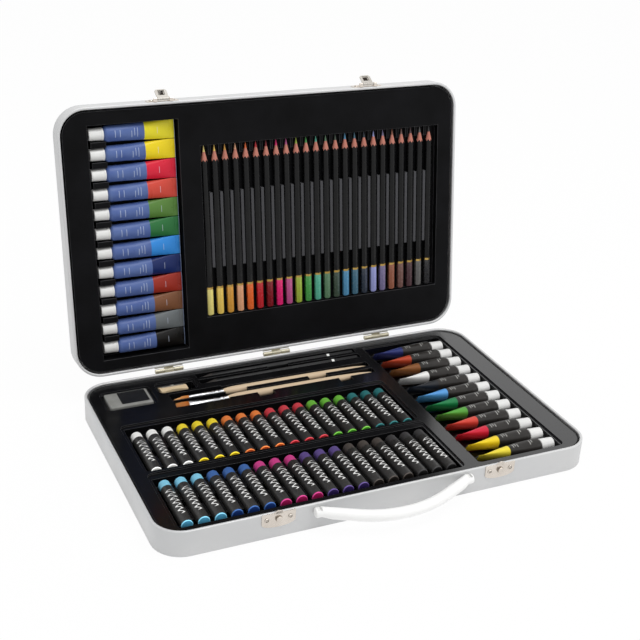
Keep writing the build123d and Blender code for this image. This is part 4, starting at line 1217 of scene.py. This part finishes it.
def brush_handle(belly):
    return bar([(FERRULE_END, 2.75), (FERRULE_END + 4, 3.5), (FERRULE_END + 10, belly * 0.97),
                (FERRULE_END + 24, belly), (FERRULE_END + 75, belly * 0.97), (FERRULE_END + 120, belly * 0.9),
                (BRUSH_END - 14, belly * 0.68), (BRUSH_END - 3, belly * 0.42), (BRUSH_END, belly * 0.25)], 20)


def ferrule(mouth_at, mouth_w, mouth_t):
    """A drawn metal sleeve with two crimp rings near the handle."""
    middle = mouth_at + 0.45 * (FERRULE_END - mouth_at)
    return bar([(mouth_at, mouth_w - 0.15, mouth_t - 0.15), (mouth_at + 0.3, mouth_w, mouth_t),
                (mouth_at + 6, mouth_w * 0.9, mouth_t * 1.03), (middle, 2.7), (-90, 2.82), (-89.4, 2.5),
                (-88.8, 2.5), (-88.2, 2.85), (-85.5, 2.87), (-84.9, 2.55), (-84.3, 2.55), (-83.7, 2.88),
                (FERRULE_END, 2.9)], 20)


# %% Hair
def hair_finish():
    finish, tree = new_finish("sable hair", IOR=1.5)
    along = measure(tree, (1, 0, 0), (MOUTH - HAIR_L) / 1000)
    root = two_tone(tree, 900.0, "#e8902a", "#d07a1e")
    colour = blend(tree, span(tree, along, 0.0, HAIR_L / 1000), paint("#efb878"), root)
    return coat(finish, colour, (900.0, 0.35, 0.55), (3000.0, 0.2))


def hair(bm, root, tip, radius):
    """One three-sided hair from its root to its tip."""
    line = tip - root
    aim = line.to_track_quat("Z", "Y").to_matrix().to_4x4()
    middle = Matrix.Translation((root + tip) / 2) @ aim
    bmesh.ops.create_cone(bm, cap_ends=True, segments=3, radius1=radius, radius2=radius * 0.25,
                          depth=line.length, matrix=middle)


def tuft(mouth, hair_l, wide, thick, gather, bend, count, rng):
    """Hairs spread over the ferrule's mouth that draw together, and a solid middle under them."""
    bm = bar([(mouth + 0.3, wide * 0.8, thick * 0.8), (mouth - hair_l * 0.35, wide * 0.88, thick * 0.85),
              (mouth - hair_l * 0.7, wide * (0.5 + 0.35 * gather), thick * 0.55),
              (mouth - hair_l * 0.93, wide * gather * 0.7, thick * 0.22)], 14)
    golden = math.pi * (3 - math.sqrt(5))
    for index in range(count):
        spread = math.sqrt((index + 0.5) / count)
        angle = index * golden
        y = wide * spread * math.cos(angle)
        z = thick * spread * math.sin(angle)
        root = Vector((mouth + 0.2, y, z))
        swell = Vector((mouth - hair_l * 0.4, y * 1.08, z * 1.1))
        reach = hair_l * (1 - bend * spread * spread) * rng.uniform(0.95, 1.0)
        tip = Vector((mouth - reach, y * gather, z * gather * 0.5))
        hair(bm, root, swell, 0.13)
        hair(bm, swell, tip, 0.12)
    bmesh.ops.recalc_face_normals(bm, faces=bm.faces)
    return bm


HAIR = hair_finish()
rng = random.Random(7)
brushes = {
    "round_brush": (87.5, 0, 4.15, (MOUTH, 2.6, 2.6), tuft(MOUTH, HAIR_L, 2.3, 2.3, 0.25, 0.22, 420, rng)),
    "flat_brush": (73.0, 34, 4.2, (FLAT_MOUTH, 4.6, 2.1),
                   tuft(FLAT_MOUTH, 14.0, 4.3, 1.8, 1.0, 0.06, 520, rng))}
for name, (y, roll, belly, mouth, hairs) in brushes.items():
    spot = in_base @ at(0, y, -BRUSH_DEPTH) @ Matrix.Rotation(math.radians(roll), 4, "X")
    for part, slot, finish, shape in (("handle", "brush_wood", BRUSH_WOOD, brush_handle(belly)),
                                      ("ferrule", "ferrule_metal", FERRULE_METAL, ferrule(*mouth)),
                                      ("bristles", "bristle_hair", HAIR, hairs)):
        stand_in(f"{name}_{part}", slot, f"{name}_{part}_fine", name, [as_mesh(shape, spot)], [finish])

# %% [markdown]
# ## Eraser and sharpener
# The eraser is a soft grey block with rounded edges and a thin dark panel on top. The sharpener is a wooden
# block whose long sides are drawn in for the fingers, with a blade and a screw on its sloping top.

# %% Eraser
ERASER = (44.0, 28.5, 12.0)
ERASER_ROUND = 1.6
ERASER_AT = (-175.5, 99.5, -1.5)
PANEL = (28.0, 23.0, 1.2)
PANEL_CORNER_STEPS = 4
PANEL_T = 0.15
PANEL_AT = (-170.6, 100.4, ERASER_AT[2])


def soft_block(size, edge):
    """A block with rounded edges whose top lies at height 0."""
    bm = bmesh.new()
    bmesh.ops.create_cube(bm, size=1.0)
    bmesh.ops.scale(bm, vec=size, verts=bm.verts)
    bmesh.ops.translate(bm, vec=(0, 0, -size[2] / 2), verts=bm.verts)
    bmesh.ops.bevel(bm, geom=bm.edges, affect="EDGES", offset=edge, segments=4, profile=0.5, material=-1)
    return bm


ERASER_GREY = even_finish("kneaded grey", "#8e8e8a", "#7c7c78", 110.0, (150.0, 0.5, 0.7), (500.0, 0.3),
                          IOR=1.45)
eraser = as_mesh(soft_block(ERASER, ERASER_ROUND), in_base @ at(*ERASER_AT))
stand_in("eraser", "eraser_rubber", "eraser_block", "eraser", [eraser], [ERASER_GREY])
panel = bmesh.new()
pull(panel, rounded_sheet(panel, *PANEL, PANEL_CORNER_STEPS), at(0, 0, PANEL_T))
panel_mesh = as_mesh(close_up(panel), in_base @ at(*PANEL_AT))
piece("eraser_panel", "eraser", [panel_mesh], [MATT_BLACK])

# %% Sharpener
WAIST_R = 0.030
WAIST_DEEP = 0.0016
SHARPENER_CREASE = 30


def waists(node):
    """Two upright rollers that draw in the long sides of a block."""
    low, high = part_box(node)
    bm = bmesh.new()
    for y in (low[1] + WAIST_DEEP - WAIST_R, high[1] - WAIST_DEEP + WAIST_R):
        place = at((low[0] + high[0]) / 2, y, (low[2] + high[2]) / 2)
        bmesh.ops.create_cone(bm, cap_ends=True, segments=96, radius1=WAIST_R, radius2=WAIST_R,
                              depth=2 * (high[2] - low[2]), matrix=place)
    return as_mesh(bm)


SHARPENER_WOOD = bare_wood("sharpener wood", "#e8d5b4", "#d0b68e", (1, 0, 0), 10.0)
block = cut(softened("sharpener_body", 0.25), waists("sharpener_body"))
stand_in("sharpener_body", "sharpener_wood", "sharpener_block", "sharpener", [block], [SHARPENER_WOOD],
         SHARPENER_CREASE)
dressed("sharpener_blade", "sharpener", "blade_steel", 0.08, GROUND_STEEL)
dressed("sharpener_screw", "sharpener", "blade_steel", 0.15, GROUND_STEEL)
